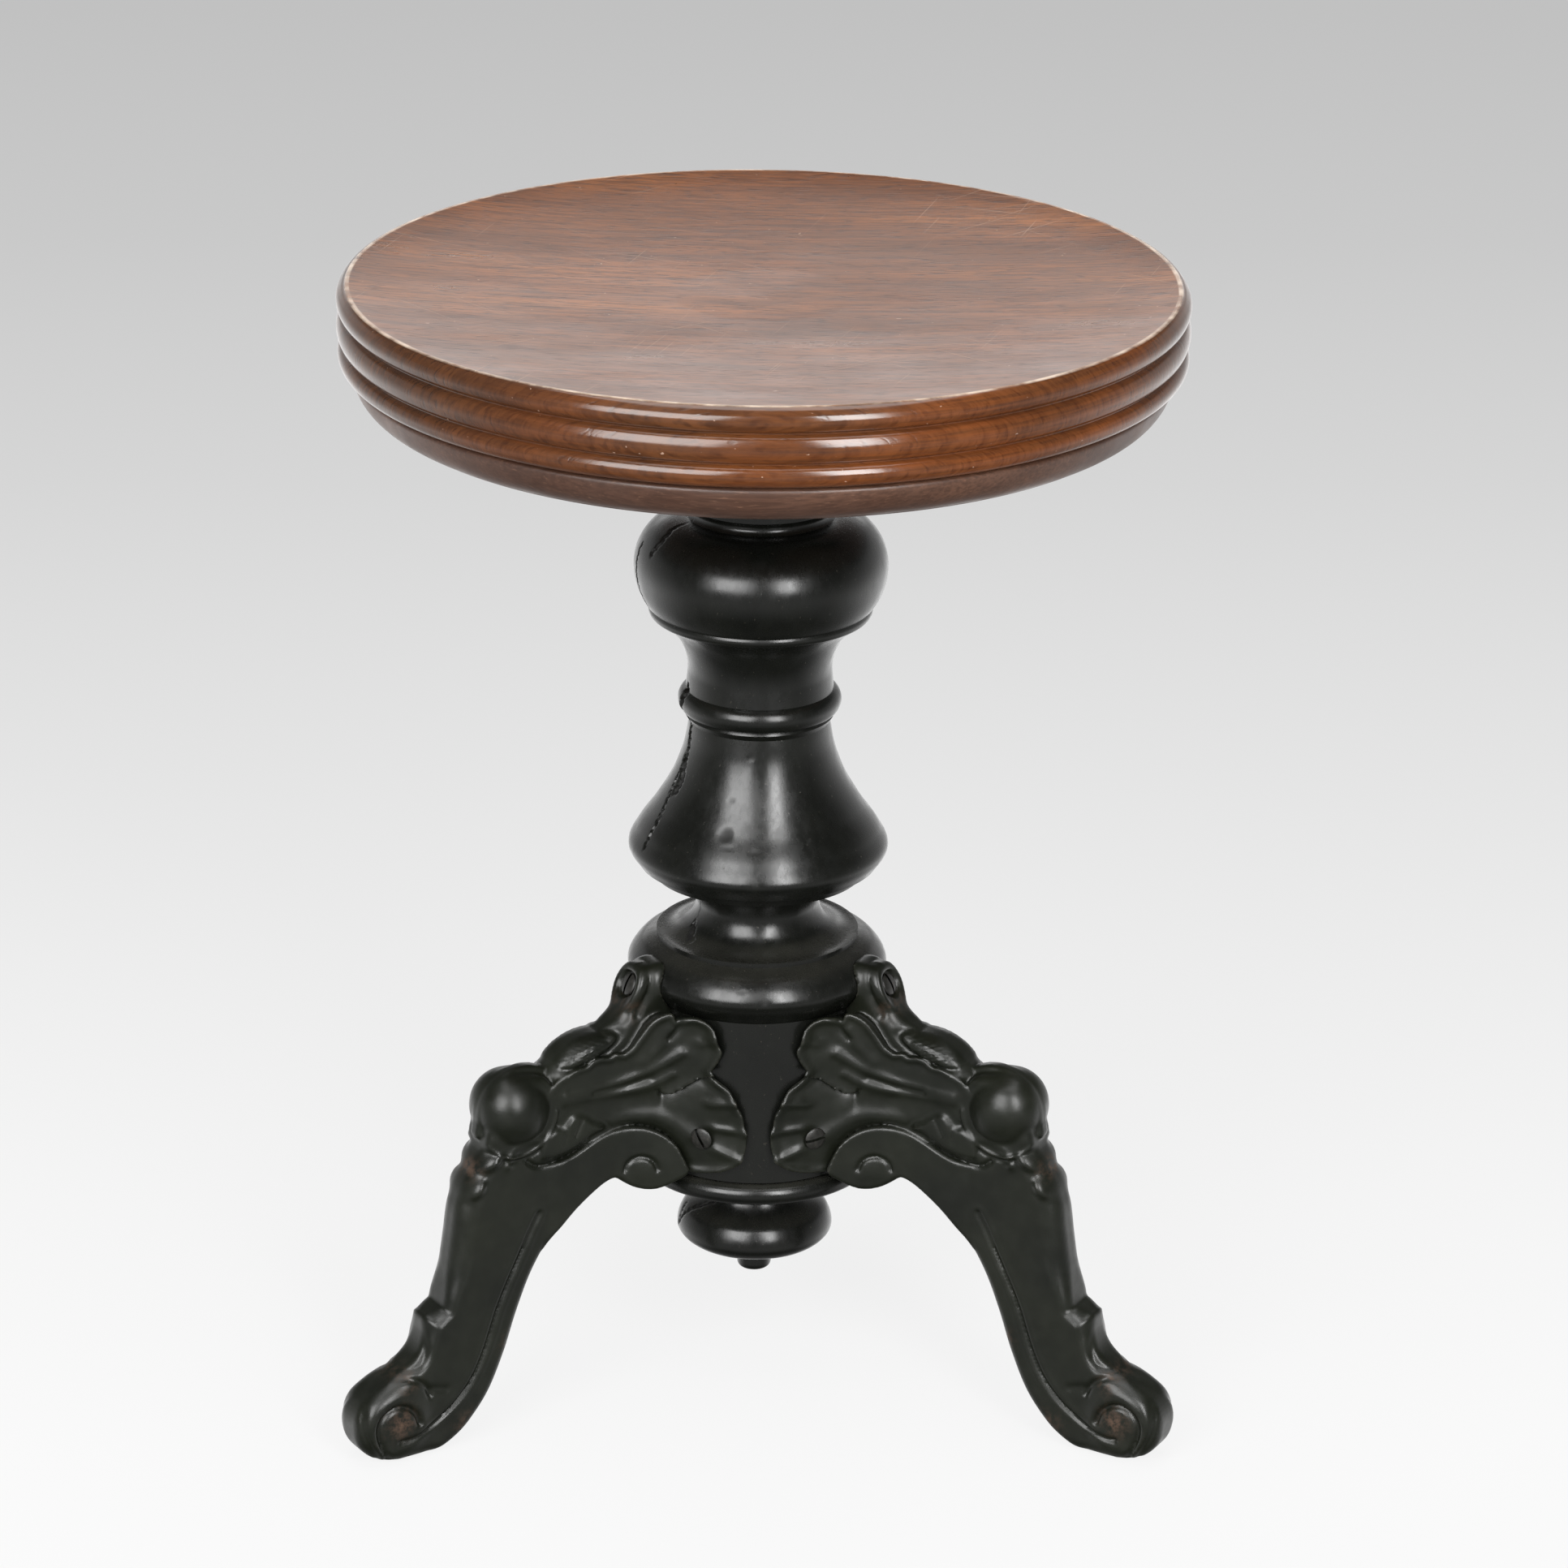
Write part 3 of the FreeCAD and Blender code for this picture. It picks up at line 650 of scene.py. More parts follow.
leafSide = [
    (104, 158.6), [(98, 161.2), (93.5, 162.4), (90, 162.6), (87.4, 164.4), (82.6, 165.2), (79, 164.6),
                   (76.6, 165.8), (72.6, 165.2)],
    [(69.6, 167), (66.8, 170.8), (64.4, 174.4), (61.4, 178.4), (57.4, 181.2), (53.6, 182.2), (51.6, 179)],
    [(49.6, 180), (46, 180.6), (42.6, 179.4), (40, 176), (39.4, 171.2), (37.6, 166.4), (38.4, 162.4),
     (41, 157)],
    [(38.4, 152.6), (35, 148.8), (33, 142.6), (31, 138.4), (30.2, 132.6), (29.4, 127), (30.4, 119.6),
     (32.4, 115), (35.4, 112.2), (39, 110.2), (44, 108.8), (50, 109)],
    (60, 112), (80, 118), (112, 118), (112, 150), (104, 158.6),
]
archLine = [(48, 110.6), (49.6, 115.8), (52, 121.5), (55.5, 125.7), (59.7, 128.6), (64.7, 130.4),
            (70.5, 131), (77, 130.5), (83.4, 128.9), (91, 125.7), (97, 123.1), (103.8, 121.5), (110.5, 121),
            (115, 121.9), (118, 124.4)]
bandSide = archLine + [(122, 118), (126, 100), (120, 84), (113, 80.6), (106, 87.6), (96, 97.2), (86, 104.4),
                       (80.5, 107.4), (76.6, 108.4), *archFoot, (49.4, 107.8), (48, 110.6)]
voluteEye = [(59.5, 111), (61, 114.6), (64.2, 116.8), (68.4, 116.8), (71.6, 114.6), (72.8, 111.6)]
smallLeaf = [(79, 130.7), (82, 134.6), (85.6, 136.4), (88.7, 139.4), (94, 142.3), (97.5, 142), (100, 139.6),
             (102, 137.6), (105, 137.8), (108, 136.6), (111.6, 134), (113.4, 129.6), (113, 123.8),
             (104, 123.2), (97.5, 124.8), (91.4, 127.4), (84, 130.4), (79, 130.7)]
foldLine = [(40.6, 156), (43, 153.4), (45.5, 152), (48, 149.6), (50.5, 147), (53, 145.2), (55.7, 144.8),
            (57.6, 145.6), (58.4, 147.6)]
veins = [([(100, 150.6), (83, 151), (74, 151.8), (66, 154.2), (58, 158.2), (50.6, 164)], 1.5, 0.9),
         ([(100, 147.6), (87, 147.4), (75, 147.2), (65, 148.4), (58.4, 151), (54, 154)], 1.4, 0.8),
         ([(84, 135), (69, 134.8), (60, 134.6), (53, 131), (48, 127)], 2.2, 0.7),
         ([(64, 160), (58, 167), (54.6, 174)], 1.5, 0.6),
         ([(86, 149.2), (74, 149.6), (62, 152.2)], 1, -0.9),
         ([(92, 143), (74, 142.4), (58, 141), (44, 141.6)], 3, -0.5),
         ([(54.4, 170), (51, 175), (51.4, 179)], 0.9, -0.8),
         ([(41.5, 141.6), (33, 144)], 1.2, 0.6), ([(40, 130.8), (31, 130.2)], 1.2, 0.6),
         ([(40, 121), (33, 117.4)], 1.3, 0.6), ([(44, 169), (40, 172)], 1.4, 0.5)]
toeOuter = [(168.6, 65), (166.6, 58), (165.6, 52), (166, 47), (168.6, 42.4), (173.4, 39.9), (179.6, 39.1),
            (185.4, 37.5), (190.2, 34.4), (194, 30.6), (196, 25), (196.6, 19.6), (195.4, 14.5),
            (192.6, 8.6), (189, 3)]
toeRing = [(181.5, 37.9), (175.9, 37.5), (170.8, 35.6), (167.2, 31.8), (165.6, 28)]
toeInner = [(171.4, 17), (173, 21.6), (176.4, 25), (180.4, 26.6), (184.6, 26), (188.2, 23.6), (190.4, 19.4),
            (190.4, 14.6), (188.6, 8.8), (185.6, 3)]
panelLine = [(113, 100), (117, 93), (122.4, 82), (128.5, 70), (133, 60), (136.2, 51), (139.8, 41.5),
             (145, 31.4), (151.5, 23.6), (159.5, 17.4), (168, 12.9), (175, 10.8), (180.5, 10.6)]
curlLine = [(112, 134), (118, 134.2), (123, 132.2), (126.4, 129), (127.6, 125)]
tabLobe = [(0, 197), (5, 195.8), (7.6, 191), (6.8, 185), (3.6, 179), (0, 174.5)]
shinMiddle = [(40, 152), (65, 140), (90, 131), (110, 126), (140, 118)]


def smoothLine(points, spacing=1.5):
    return traceOutline([points[0], list(points[1:])], spacing)


toeFlank = [*smoothLine([(172, 80), (171, 68)] + toeOuter), (186, -6), (100, -6), (100, 80), (172, 80)]
# along each line, the half width and how far it stands up
leafFlutes = [([(93, 138), (96, 132)], 0.9, -0.6), ([(100, 136), (101, 130)], 0.9, -0.5)]
bladeStrokes = [
    ([(59, 197), (60, 188), (64, 179)], 1.8, -1.2), ([(105.5, 166), (104.6, 156), (105, 149)], 2.4, -2.2),
    (smoothLine(curlLine), 2.2, 1.0), (smoothLine(panelLine), 1.0, -1.1), (smoothLine(toeRing), 1.2, -1.4),
    (smoothLine(toeInner), 1.2, -1.8), ([(165, 31), (158, 29)], 2.0, -0.7)]
# where the paint has worn brown: the place, how far it reaches and how much
wornPlaces = [(179.8, 19.5, 5.6, 0.9), (176, 36, 4, 0.6), (143, 125, 3.6, 0.8), (147, 9, 6, 0.6),
              (66, 181, 4, 0.4), (126, 44, 4.5, 0.6)]


def signedGap(s, z, points):
    # distance to a closed outline, below zero inside it
    gap = lineGap(s, z, points)
    inside = np.zeros(gap.shape, bool)
    for (s0, z0), (s1, z1) in zip(points, points[1:]):
        if z0 != z1:
            crosses = (z0 > z) != (z1 > z)
            inside ^= crosses & (s < (s1 - s0) * (z - z0) / (z1 - z0) + s0)
    return np.where(inside, -gap, gap)


def hump(gap, width):
    return np.exp(-(gap / width) ** 2)


def ease(value, low, high):
    share = np.clip((value - low) / (high - low), 0, 1)
    return share * share * (3 - 2 * share)


def roundMax(a, b, radius):
    # both at once, with the edge between them rounded
    outside = np.hypot(np.maximum(a + radius, 0), np.maximum(b + radius, 0))
    return np.minimum(np.maximum(a, b), -radius) + outside


def blendMin(a, b, reach):
    # either, run together over that reach
    share = np.clip(0.5 + 0.5 * (b - a) / reach, 0, 1)
    return b + (a - b) * share - reach * share * (1 - share)


def flareGap(s, t):
    # the side of the casting seen from above: flat along the leg, swept round on to the drum
    u = t - leg["halfWidth"]
    v = (np.hypot(s, t) - leg["leafRadius"]) / leg["flareLong"]
    r = leg["flareRound"]
    swept = np.maximum(r, np.minimum(u, v)) - np.hypot(np.maximum(r - u, 0), np.maximum(r - v, 0))
    return np.where(v > r, u, np.where(u > r, v, swept))


def strokes(s, z, table):
    # ridges along lines, and grooves where the rise is below nought: each is its points, half width and rise
    return sum(rise * hump(lineGap(s, z, points), width) for points, width, rise in table)


def bosses(s, z, table):
    # round swellings: each is its centre, half width and rise
    return sum(rise * hump(np.hypot(s - s0, z - z0), width) for s0, z0, width, rise in table)


def leafRelief(s, z, margin):
    # how far the leaf's carving stands up from the swept side
    widen, lift = leg["veinWiden"], leg["veinRise"]
    wide = [(smoothLine(points), widen * width, lift * rise) for points, width, rise in veins]
    relief = strokes(s, z, wide + leafFlutes)
    gap = lineGap(s, z, smoothLine(foldLine))
    under = z < np.interp(s, *zip(*foldLine))
    relief += np.where(under, -2.5 * np.exp(-gap / 3.4), 0.9 * np.exp(-gap / 2.6)) * ease(60.0 - s, 0, 4)
    relief += 0.8 * hump(margin + 1.6, 1.5) * ease(112.0 - s, 0, 20)
    relief -= 2.0 * np.exp(-lineGap(s, z, smoothLine(archLine)) / 1.9)
    bearing = np.arctan2(z - 142.0, 96.0 - s)
    relief += 0.3 * np.cos(bearing * 17.0) * ease(96.0 - s, 34, 52) * ease(-margin, 0.5, 5)
    leaf = signedGap(s, z, smoothLine(smallLeaf))
    return relief + 1.9 * ease(-leaf, -0.3, 3.0) - 0.7 * hump(leaf - 0.8, 1.1)


def bladeRelief(s, z):
    relief = strokes(s, z, bladeStrokes) + bosses(s, z, [(180, 18, 8, 1.3)])
    # crest: narrower than the leaf below it, with a fluted oval cushion on each flank
    relief -= 1.7 * ease(z, 158, 163) * ease(110.0 - s, 2, 8)
    lean = math.radians(leg["cushionLean"])
    across, up = s - leg["cushion"][0], z - leg["cushion"][1]
    a = (across * math.cos(lean) + up * math.sin(lean)) / leg["cushionHalf"][0]
    b = (-across * math.sin(lean) + up * math.cos(lean)) / leg["cushionHalf"][1]
    oval = np.sqrt(np.clip(1 - a ** 2 - b ** 2, 0, 1))
    relief += 2.0 * oval + 0.3 * oval * np.cos(b * leg["cushionHalf"][1] * 4.2)
    relief -= 0.8 * hump(np.hypot(a, b) - 1.12, 0.14) * ease(z, 160, 166)
    # tab: a boss beside the screw lobe
    relief += 2.0 * hump(np.hypot(s - 53.0, (z - 189.0) / 1.3), 4.6)
    # knee: a thin raised ring round the ball and a crease outside it
    ring = np.hypot((s - 122.4) / 17.4, (z - 147.0) / 18.0)
    relief += 1.1 * hump(ring - 1.05, 0.045) - 0.9 * hump(ring - 1.15, 0.06)
    relief -= 1.9 * hump(lineGap(s, z, smoothLine(archLine)), 1.1) * ease(s, 86, 94)
    # shin: a border along the inner edge, marked off by a groove
    relief += 0.35 * hump(lineGap(s, z, smoothLine(panelLine)) - 2.4, 1.4)
    # toe: the front rolls over between two flanks, and two grooves coil round a raised eye on each
    flank = signedGap(s, z, toeFlank)
    stepped = 0.7 * np.clip(flank / 3.4 + 1, 0, 1) ** 2 + 0.7 * ease(flank, 0.0, 3.0)
    relief -= stepped * ease(s, 158, 168) * ease(56.0 - z, 0, 14)
    relief -= 1.3 * hump(flank, 0.9) * ease(s, 156, 162) * ease(60.0 - z, 0, 12)
    return relief + 0.8 * hump(np.hypot(s - 182.6, z - 18.2) - 12.5, 4.0)


def ellipsoid(s, t, z, centre, radii, lean=0.0):
    # lean tips the long axis towards the floor, in degrees
    c, d = math.cos(math.radians(lean)), math.sin(math.radians(lean))
    a, b = s - centre[0], z - centre[2]
    u, v = a * c + b * d, -a * d + b * c
    scaled = np.sqrt((u / radii[0]) ** 2 + ((t - centre[1]) / radii[1]) ** 2 + (v / radii[2]) ** 2)
    return (scaled - 1) * min(radii)


def shiftedUp(layer, heights, lift):
    # reads a side-view layer at raised heights
    step = leg["step"]
    place = np.clip((heights + lift - heights.min()) / step, 0, layer.shape[1] - 1.001)
    low = place.astype(int)
    share = place - low
    row = np.arange(layer.shape[0])[:, None, None]
    return layer[row, low] * (1 - share) + layer[row, low + 1] * share


def legField():
    step = leg["step"]
    s1 = np.arange(27.0, 201.0, step)
    t1 = np.arange(0.5, 58.0) * step
    z1 = np.arange(-2.0, 203.0, step)
    s2, z2 = np.meshgrid(s1, z1, indexing="ij")
    s, t, z = s1[:, None, None], t1[None, :, None], z1[None, None, :]
    blade = signedGap(s2, z2, traceOutline(bladeSide, 1.5))
    leaf = signedGap(s2, z2, traceOutline(leafSide, 1.0))
    band = signedGap(s2, z2, smoothLine(bandSide))
    swept = flareGap(s, t)
    # the leaf, thinning towards its upper edge behind
    side = swept - leafRelief(s2, z2, leaf)[:, None, :]
    lift = 0.5 * np.clip(-side, 0, 9) * ease(z, 148, 158)
    leafPart = roundMax(side, shiftedUp(leaf, z, lift), 1.2)
    # the band along the arch, ending in the volute
    eye = lineGap(s2, z2, smoothLine(voluteEye))
    proud = 1.5 + 0.5 * ease(80.0 - s2, 0, 20) - 1.3 * hump(eye, 0.9) + bosses(s2, z2, [(66, 110.5, 6, 0.7)])
    proud = proud * ease(114.0 - s2, 0, 14) - 0.6 * ease(s2, 100, 114)
    bandPart = roundMax(swept - proud[:, None, :], band[:, None, :] + 0.0 * t, 1.6)
    # the blade, with wider rounding on the crest, down the front of the shin and over the toe
    middle = np.interp(z2, *zip(*shinMiddle))
    edge = leg["edge"] + 2.4 * ease(z2, 158, 166) - 1.6 * ease(z2, 180, 190)
    edge += 4.6 * ease(s2 - middle, 2, 14) * ease(z2, 62, 84) * ease(138.0 - z2, 0, 10)
    edge += 2.2 * ease(s2, 158, 168) * ease(66.0 - z2, 0, 5) + bosses(s2, z2, [(162, 61, 7, 3.4)])
    wide = leg["halfWidth"] + bladeRelief(s2, z2) + 0.8 * ease(s2, 158, 176) * ease(60.0 - z2, 0, 20)
    bladePart = roundMax(t - wide[:, None, :], blade[:, None, :] + 0.0 * t, edge[:, None, :])
    field = blendMin(bladePart, leafPart, 1.2)
    field = np.minimum(field, bandPart)
    # knee: a ball on each side, a rib over the top between them, and scales down the front
    field = blendMin(field, ellipsoid(s, t, z, (121.0, 2.8, 146.8), (15.6, 14.4, 16.2), -20), 1.0)
    crestRun = traceOutline([(104.0, 158.0), ((121.4, 161.6), (135.0, 143.5)), (136.0, 138.0)], 1.0)
    rib = np.hypot(lineGap(s2, z2, crestRun)[:, None, :], np.maximum(t - 1.4, 0)) - 2.2
    field = blendMin(field, rib, 1.2)
    for scale in (((133.6, 0.0, 127.6), (9.2, 12.5, 4.8), -40), ((140.6, 0.0, 116.6), (8.4, 12.1, 4.4), -54)):
        field = blendMin(field, ellipsoid(s, t, z, *scale), 1.0)
    # tab: a lobe rolled over on both sides of its screw
    lobe = lineGap(t1[None, :], z1[:, None], smoothLine(tabLobe)).T[None]
    tilt = math.radians(leg["tabLean"])
    screwS, screwZ = leg["tabScrew"]
    ahead = (s - screwS) * math.cos(tilt) + (z - screwZ) * math.sin(tilt)
    roll = np.hypot(np.clip(np.abs(ahead + 0.6) - 0.8, 0, None), lobe) - 1.9
    field = blendMin(field, roll + 0.0 * s, 1.0)
    recess = np.maximum(np.hypot(t, z - screwZ) - leg["screwRecess"], -(ahead + 0.3))
    field = np.where(ahead < 6, np.maximum(field, -recess), field)
    # cut round the column
    profile = traceOutline(columnSide, 0.5)
    profile = profile[profile[:, 1] < 226.0]
    wood = np.interp(-z1, -profile[:, 1], profile[:, 0]) + leg["clearance"]
    field = np.maximum(field, wood[None, None, :] - np.hypot(s, t))
    field = np.maximum(field, 0.05 - z)
    whole = np.concatenate([field[:, ::-1, :], field], axis=1)
    return whole, np.array([s1[0], -t1[-1], z1[0]])


def stretchNet(field, corner, step):
    # one point in each cell that the surface passes, one face across each crossed edge
    inside = field < 0
    shape = np.array(field.shape)
    crossings, hits, quads = [], [], []
    for axis in range(3):
        low = [slice(None)] * 3
        high = [slice(None)] * 3
        low[axis], high[axis] = slice(None, -1), slice(1, None)
        a, b = field[tuple(low)], field[tuple(high)]
        crossed = np.argwhere(inside[tuple(low)] != inside[tuple(high)])
        va, vb = a[tuple(crossed.T)], b[tuple(crossed.T)]
        spot = crossed.astype(float)
        spot[:, axis] += va / (va - vb)
        first, second = [k for k in range(3) if k != axis]
        ring = []
        for da, db in ((1, 1), (0, 1), (0, 0), (1, 0)):
            cell = crossed.copy()
            cell[:, first] -= da
            cell[:, second] -= db
            flat = np.ravel_multi_index(cell.T, shape)
            ring.append(flat)
            hits.append(flat)
            crossings.append(spot)
        ring = np.stack(ring, axis=1)
        outwards = (va < 0) if axis != 1 else (va > 0)
        quads.append(np.where(outwards[:, None], ring, ring[:, ::-1]))
    cells, index = np.unique(np.concatenate(hits), return_inverse=True)
    spots = np.concatenate(crossings)
    count = np.bincount(index)
    points = np.stack([np.bincount(index, spots[:, k]) / count for k in range(3)], axis=1)
    faces = np.searchsorted(cells, np.concatenate(quads))
    return points * step + corner, faces


def makeLegs():
    field, corner = legField()
    points, faces = stretchNet(field, corner, leg["step"])
    s, t, z = points.T
    wear = np.clip(bosses(s, z, wornPlaces), 0, 1).astype(np.float32)
    for name, angle in leg["angles"].items():
        c, d = math.cos(math.radians(angle)), math.sin(math.radians(angle))
        turned = np.stack([s * c - t * d, s * d + t * c, z], axis=1)
        piece = newPiece(name + "Casting", turned, faces.tolist(), 60.0)
        piece.data.attributes.new("wear", "FLOAT", "POINT").data.foreach_set("value", wear)
        dress(piece, finishes["iron"], "stand", [name])
    print("leg faces", len(faces))


makeLegs()
print("legs cast")

# The spider: a cast iron hub on top of the screw, with four arms under the seat
spider = {"step": 1.0, "gridReach": 77.5, "gridFoot": 394.3, "gridTop": 440.0,
          "hub": 18.0, "hubFoot": 398.6, "hubEdge": 1.5, "face": 437.5,
          "collar": 31.0, "collarRise": 14.0, "collarFoot": 416.5, "collarEdge": 1.0, "collarBlend": 3.0,
          "reach": 72.0, "armWidth": 12.0, "armThick": 6.0, "armEdge": 1.6, "armBlend": 5.0,
          "rib": 2.6, "ribDepth": 9.0, "ribRun": 32.0, "ribReach": 52.0, "ribBlend": 3.0,
          "screwRing": 60.0, "screwHole": 2.35, "boss": 9.5, "bossFoot": 429.9, "bossTop": 437.1,
          "bossEdge": 1.0, "bossBlend": 1.5,
          "bore": 11.1, "boreTop": 434.0, "pin": 2.6, "pinHeight": 409.0}


def spiderField():
    step, face, hub, thick = spider["step"], spider["face"], spider["hub"], spider["armThick"]
    a1 = np.arange(-spider["gridReach"], spider["gridReach"] + step / 2, step)
    z1 = np.arange(spider["gridFoot"], spider["gridTop"], step)
    x, y, z = a1[:, None, None], a1[None, :, None], z1[None, None, :]

    def slab(across, low, high, edge):
        # a shape seen from above, from one height to another, with its edges rounded
        return roundMax(across, np.abs(z - (high + low) / 2) - (high - low) / 2, edge)

    radius = np.hypot(x, y)
    flare = ease(z, face - thick - spider["collarRise"], face - thick)
    collar = slab(radius - hub - (spider["collar"] - hub) * flare, spider["collarFoot"], face,
                  spider["collarEdge"])
    field = slab(radius - hub, spider["hubFoot"], face, spider["hubEdge"])
    field = blendMin(field, collar, spider["collarBlend"])
    along, across = np.maximum(np.abs(x), np.abs(y)), np.minimum(np.abs(x), np.abs(y))
    flat = np.hypot(np.maximum(along - spider["reach"] + spider["armWidth"], 0), across) - spider["armWidth"]
    field = blendMin(field, slab(flat, face - thick, face, spider["armEdge"]), spider["armBlend"])
    slope = face - thick - spider["ribDepth"] * (1 - (along - hub) / spider["ribRun"])
    ribs = np.maximum(np.maximum(across - spider["rib"], slope - z), along - spider["ribReach"])
    field = blendMin(field, np.maximum(ribs, z - face + thick / 2), spider["ribBlend"])
    fromScrew = np.hypot(along - spider["screwRing"], across)
    boss = slab(fromScrew - spider["boss"], spider["bossFoot"], spider["bossTop"], spider["bossEdge"])
    field = blendMin(field, boss, spider["bossBlend"])
    bore = np.maximum(radius - spider["bore"], z - spider["boreTop"])
    pinHole = np.hypot(y, z - spider["pinHeight"]) - spider["pin"]
    for cutAway in (face - z, fromScrew - spider["screwHole"], bore, pinHole):
        field = np.maximum(field, -cutAway)
    return field, np.array([a1[0], a1[0], z1[0]])


def makeSpider():
    field, corner = spiderField()
    points, faces = stretchNet(field, corner, spider["step"])
    piece = newPiece("spiderCasting", points, faces.tolist(), 50.0)
    return dress(piece, finishes["iron"], "seat", ["spindle_flange"])


makeSpider()
print("spider cast")


# Slotted wood screws, set in rings by one node tree, in metres
def openTree(name, inputs):
    # a geometry node tree with named inputs and their starting values
    tree = bpy.data.node_groups.new(name, "GeometryNodeTree")
    for way in ("INPUT", "OUTPUT"):
        tree.interface.new_socket("Geometry", in_out=way, socket_type="NodeSocketGeometry")
    for title, value in inputs.items():
        kind = "NodeSocketInt" if isinstance(value, int) else "NodeSocketFloat"
        tree.interface.new_socket(title, in_out="INPUT", socket_type=kind).default_value = value
    add = nodeAdder(tree)
    return tree, add, add("given").node.outputs


def treeModifier(piece, tree, values):
    # inputs are set by their sockets' identifiers before the tree is first worked out
    modifier = piece.modifiers.new(tree.name, "NODES")
    modifier.node_group = tree
    for item in tree.interface.items_tree:
        if item.in_out == "INPUT" and item.name in values:
            modifier[item.identifier] = values[item.name]


def fixTree(piece, sharpOver):
    # the modifiers' result becomes the piece's own mesh, moved to the column's axis
    bpy.context.view_layer.update()
    graph = bpy.context.evaluated_depsgraph_get()
    mesh = bpy.data.meshes.new_from_object(piece.evaluated_get(graph))
    piece.modifiers.clear()
    piece.data = mesh
    mesh.transform(Matrix.Translation((axisX * mm, axisY * mm, 0)))
    mesh.set_sharp_from_angle(angle=math.radians(sharpOver))


screw = {"head": 0.0048, "shank": 0.0023, "point": 0.0006, "neck": 0.003, "dome": 0.26,
         "slot": (0.02, 0.0012, 0.0022), "slotLift": 0.0011}


def screwTree(material):
    tree, add, given = openTree("slotted screws", {
        "Count": 4, "Ring Radius": 0.06, "Height": 0.1, "First Angle": 0.0, "Facing": 0.0, "Slot Turn": 0.0,
        "Slot Spread": 0.0, "Seed": 3, "Length": 0.02, "Head Radius": screw["head"]})
    # one screw, its head's rim at the origin and its point below
    dome = add("move", add("ball", given["Head Radius"]), None, None, (1, 1, screw["dome"]))
    neck = add("cone", 40, given["Head Radius"], screw["shank"], screw["neck"])
    neck = add("move", neck, (0, 0, -screw["neck"]))
    shank = add("cone", 24, screw["shank"], screw["point"], given["Length"])
    shank = add("move", shank, add("gather", None, None, add("times", given["Length"], -1.0)))
    slot = add("move", add("block", screw["slot"]), (0, 0, screw["slotLift"]))
    slotted = add("carve", add("unite", [dome, neck, shank]), slot)
    # the ring, turned to face the way each screw is driven from
    angle = add("timesPlus", add("index"), add("over", math.tau, given["Count"]), given["First Angle"])
    x, y = [add("times", add(way, angle), given["Ring Radius"]) for way in ("cosine", "sine")]
    points = add("points", given["Count"], add("gather", x, y, given["Height"]))
    placed = add("copies", points, slotted, add("gather", None, given["Facing"], angle))
    chance = add("chance", add("times", given["Slot Spread"], -1.0), given["Slot Spread"], given["Seed"])
    spun = add("spin", placed, add("gather", None, None, add("plus", chance, given["Slot Turn"])))
    add("result", add("join", [add("dress", add("real", spun), material), given["Geometry"]]))
    return tree


# what each screw ring is given, and the unit of each number; the first angle is counted from straight right
degree = math.pi / 180
screwInputs = {"Count": 1, "Ring Radius": mm, "Height": mm, "First Angle": degree, "Facing": degree,
               "Slot Turn": degree, "Slot Spread": degree, "Length": mm}
screwRings = {
    "stand": [(3, 21.8, 398, 30, 0, 20, 70, 22), (3, 63.2, 190, 90, 66, 4, 8, 30),
              (3, 53.4, 126, 123.2, 90, 38, 12, 24), (3, 53.4, 126, 56.8, 90, 96, 14, 24)],
    "seat": [(4, 60, 431.5, 0, 180, 30, 70, 20), (6, 125, 437.5, 15, 180, 50, 80, 38)],
}


def makeScrews(body, nodes):
    piece = newPiece(body + "Screws", np.zeros((0, 3)), [])
    tree = screwTree(finishes["screws"])
    for number, ring in enumerate(screwRings[body]):
        values = {name: value * unit for (name, unit), value in zip(screwInputs.items(), ring)}
        treeModifier(piece, tree, {**values, "Seed": 11 + number})
    fixTree(piece, 30)
    dress(piece, finishes["screws"], body, nodes)


for body, words in (("stand", ("leg_", "nut_")), ("seat", ("flange_", "underplate_"))):
    ends = ("_screw", "_screws")
    owned = [name for name in frame["nodes"] if name.startswith(words) and name.endswith(ends)]
    print(body, "screws stand for", owned)
    makeScrews(body, owned)

# The seat's screw: a square-cut thread wound round a core
spindle = {"foot": 271.8, "top": 434.0, "core": 9.3, "major": 11.0, "pitch": 6.0, "hole": 4.0,
           "holeDepth": 18.0, "plain": 22.0, "ridgeFoot": 0.62, "ridgeTop": 0.4, "start": 2.5, "runOut": 4.0}


def threadTree(material):
    tree, add, given = openTree("square thread", {
        "Foot": 0.27, "Length": 0.16, "Core": 0.0093, "Major": 0.011, "Pitch": 0.006, "Turns": 20.0,
        "Hole": 0.004, "Hole Depth": 0.018, "Plain": 0.02})
    foot, length, core, major = [given[name] for name in ("Foot", "Length", "Core", "Major")]

    def raised(shape, height):
        return add("move", shape, add("gather", None, None, height))

    rod = raised(add("rod", 96, core, length), add("plus", foot, add("times", length, 0.5)))
    drill = raised(add("rod", 48, given["Hole"], given["Hole Depth"]),
                   add("plus", foot, add("times", given["Hole Depth"], 0.4999)))
    bored = add("carve", rod, drill)
    # the thread's ridge, a trapezium swept along a spiral
    depth = add("less", major, core)
    line = add("plus", core, add("times", depth, 0.5))
    spiral = add("spiral", given["Turns"], line, line, add("times", given["Pitch"], given["Turns"]))
    widths = [add("times", given["Pitch"], spindle[name]) for name in ("ridgeFoot", "ridgeTop")]
    section = add("ridge", depth, *widths)
    wound = raised(add("sweep", add("upright", spiral), section), add("plus", foot, spindle["start"] * mm))
    # above the thread the rod is plain, at its full width, and is held in the hub
    level = add("less", add("plus", foot, length), add("times", given["Plain"], 0.5))
    plain = raised(add("rod", 96, major, given["Plain"]), level)
    add("result", add("dress", add("real", add("join", [bored, wound, plain])), material))
    return tree


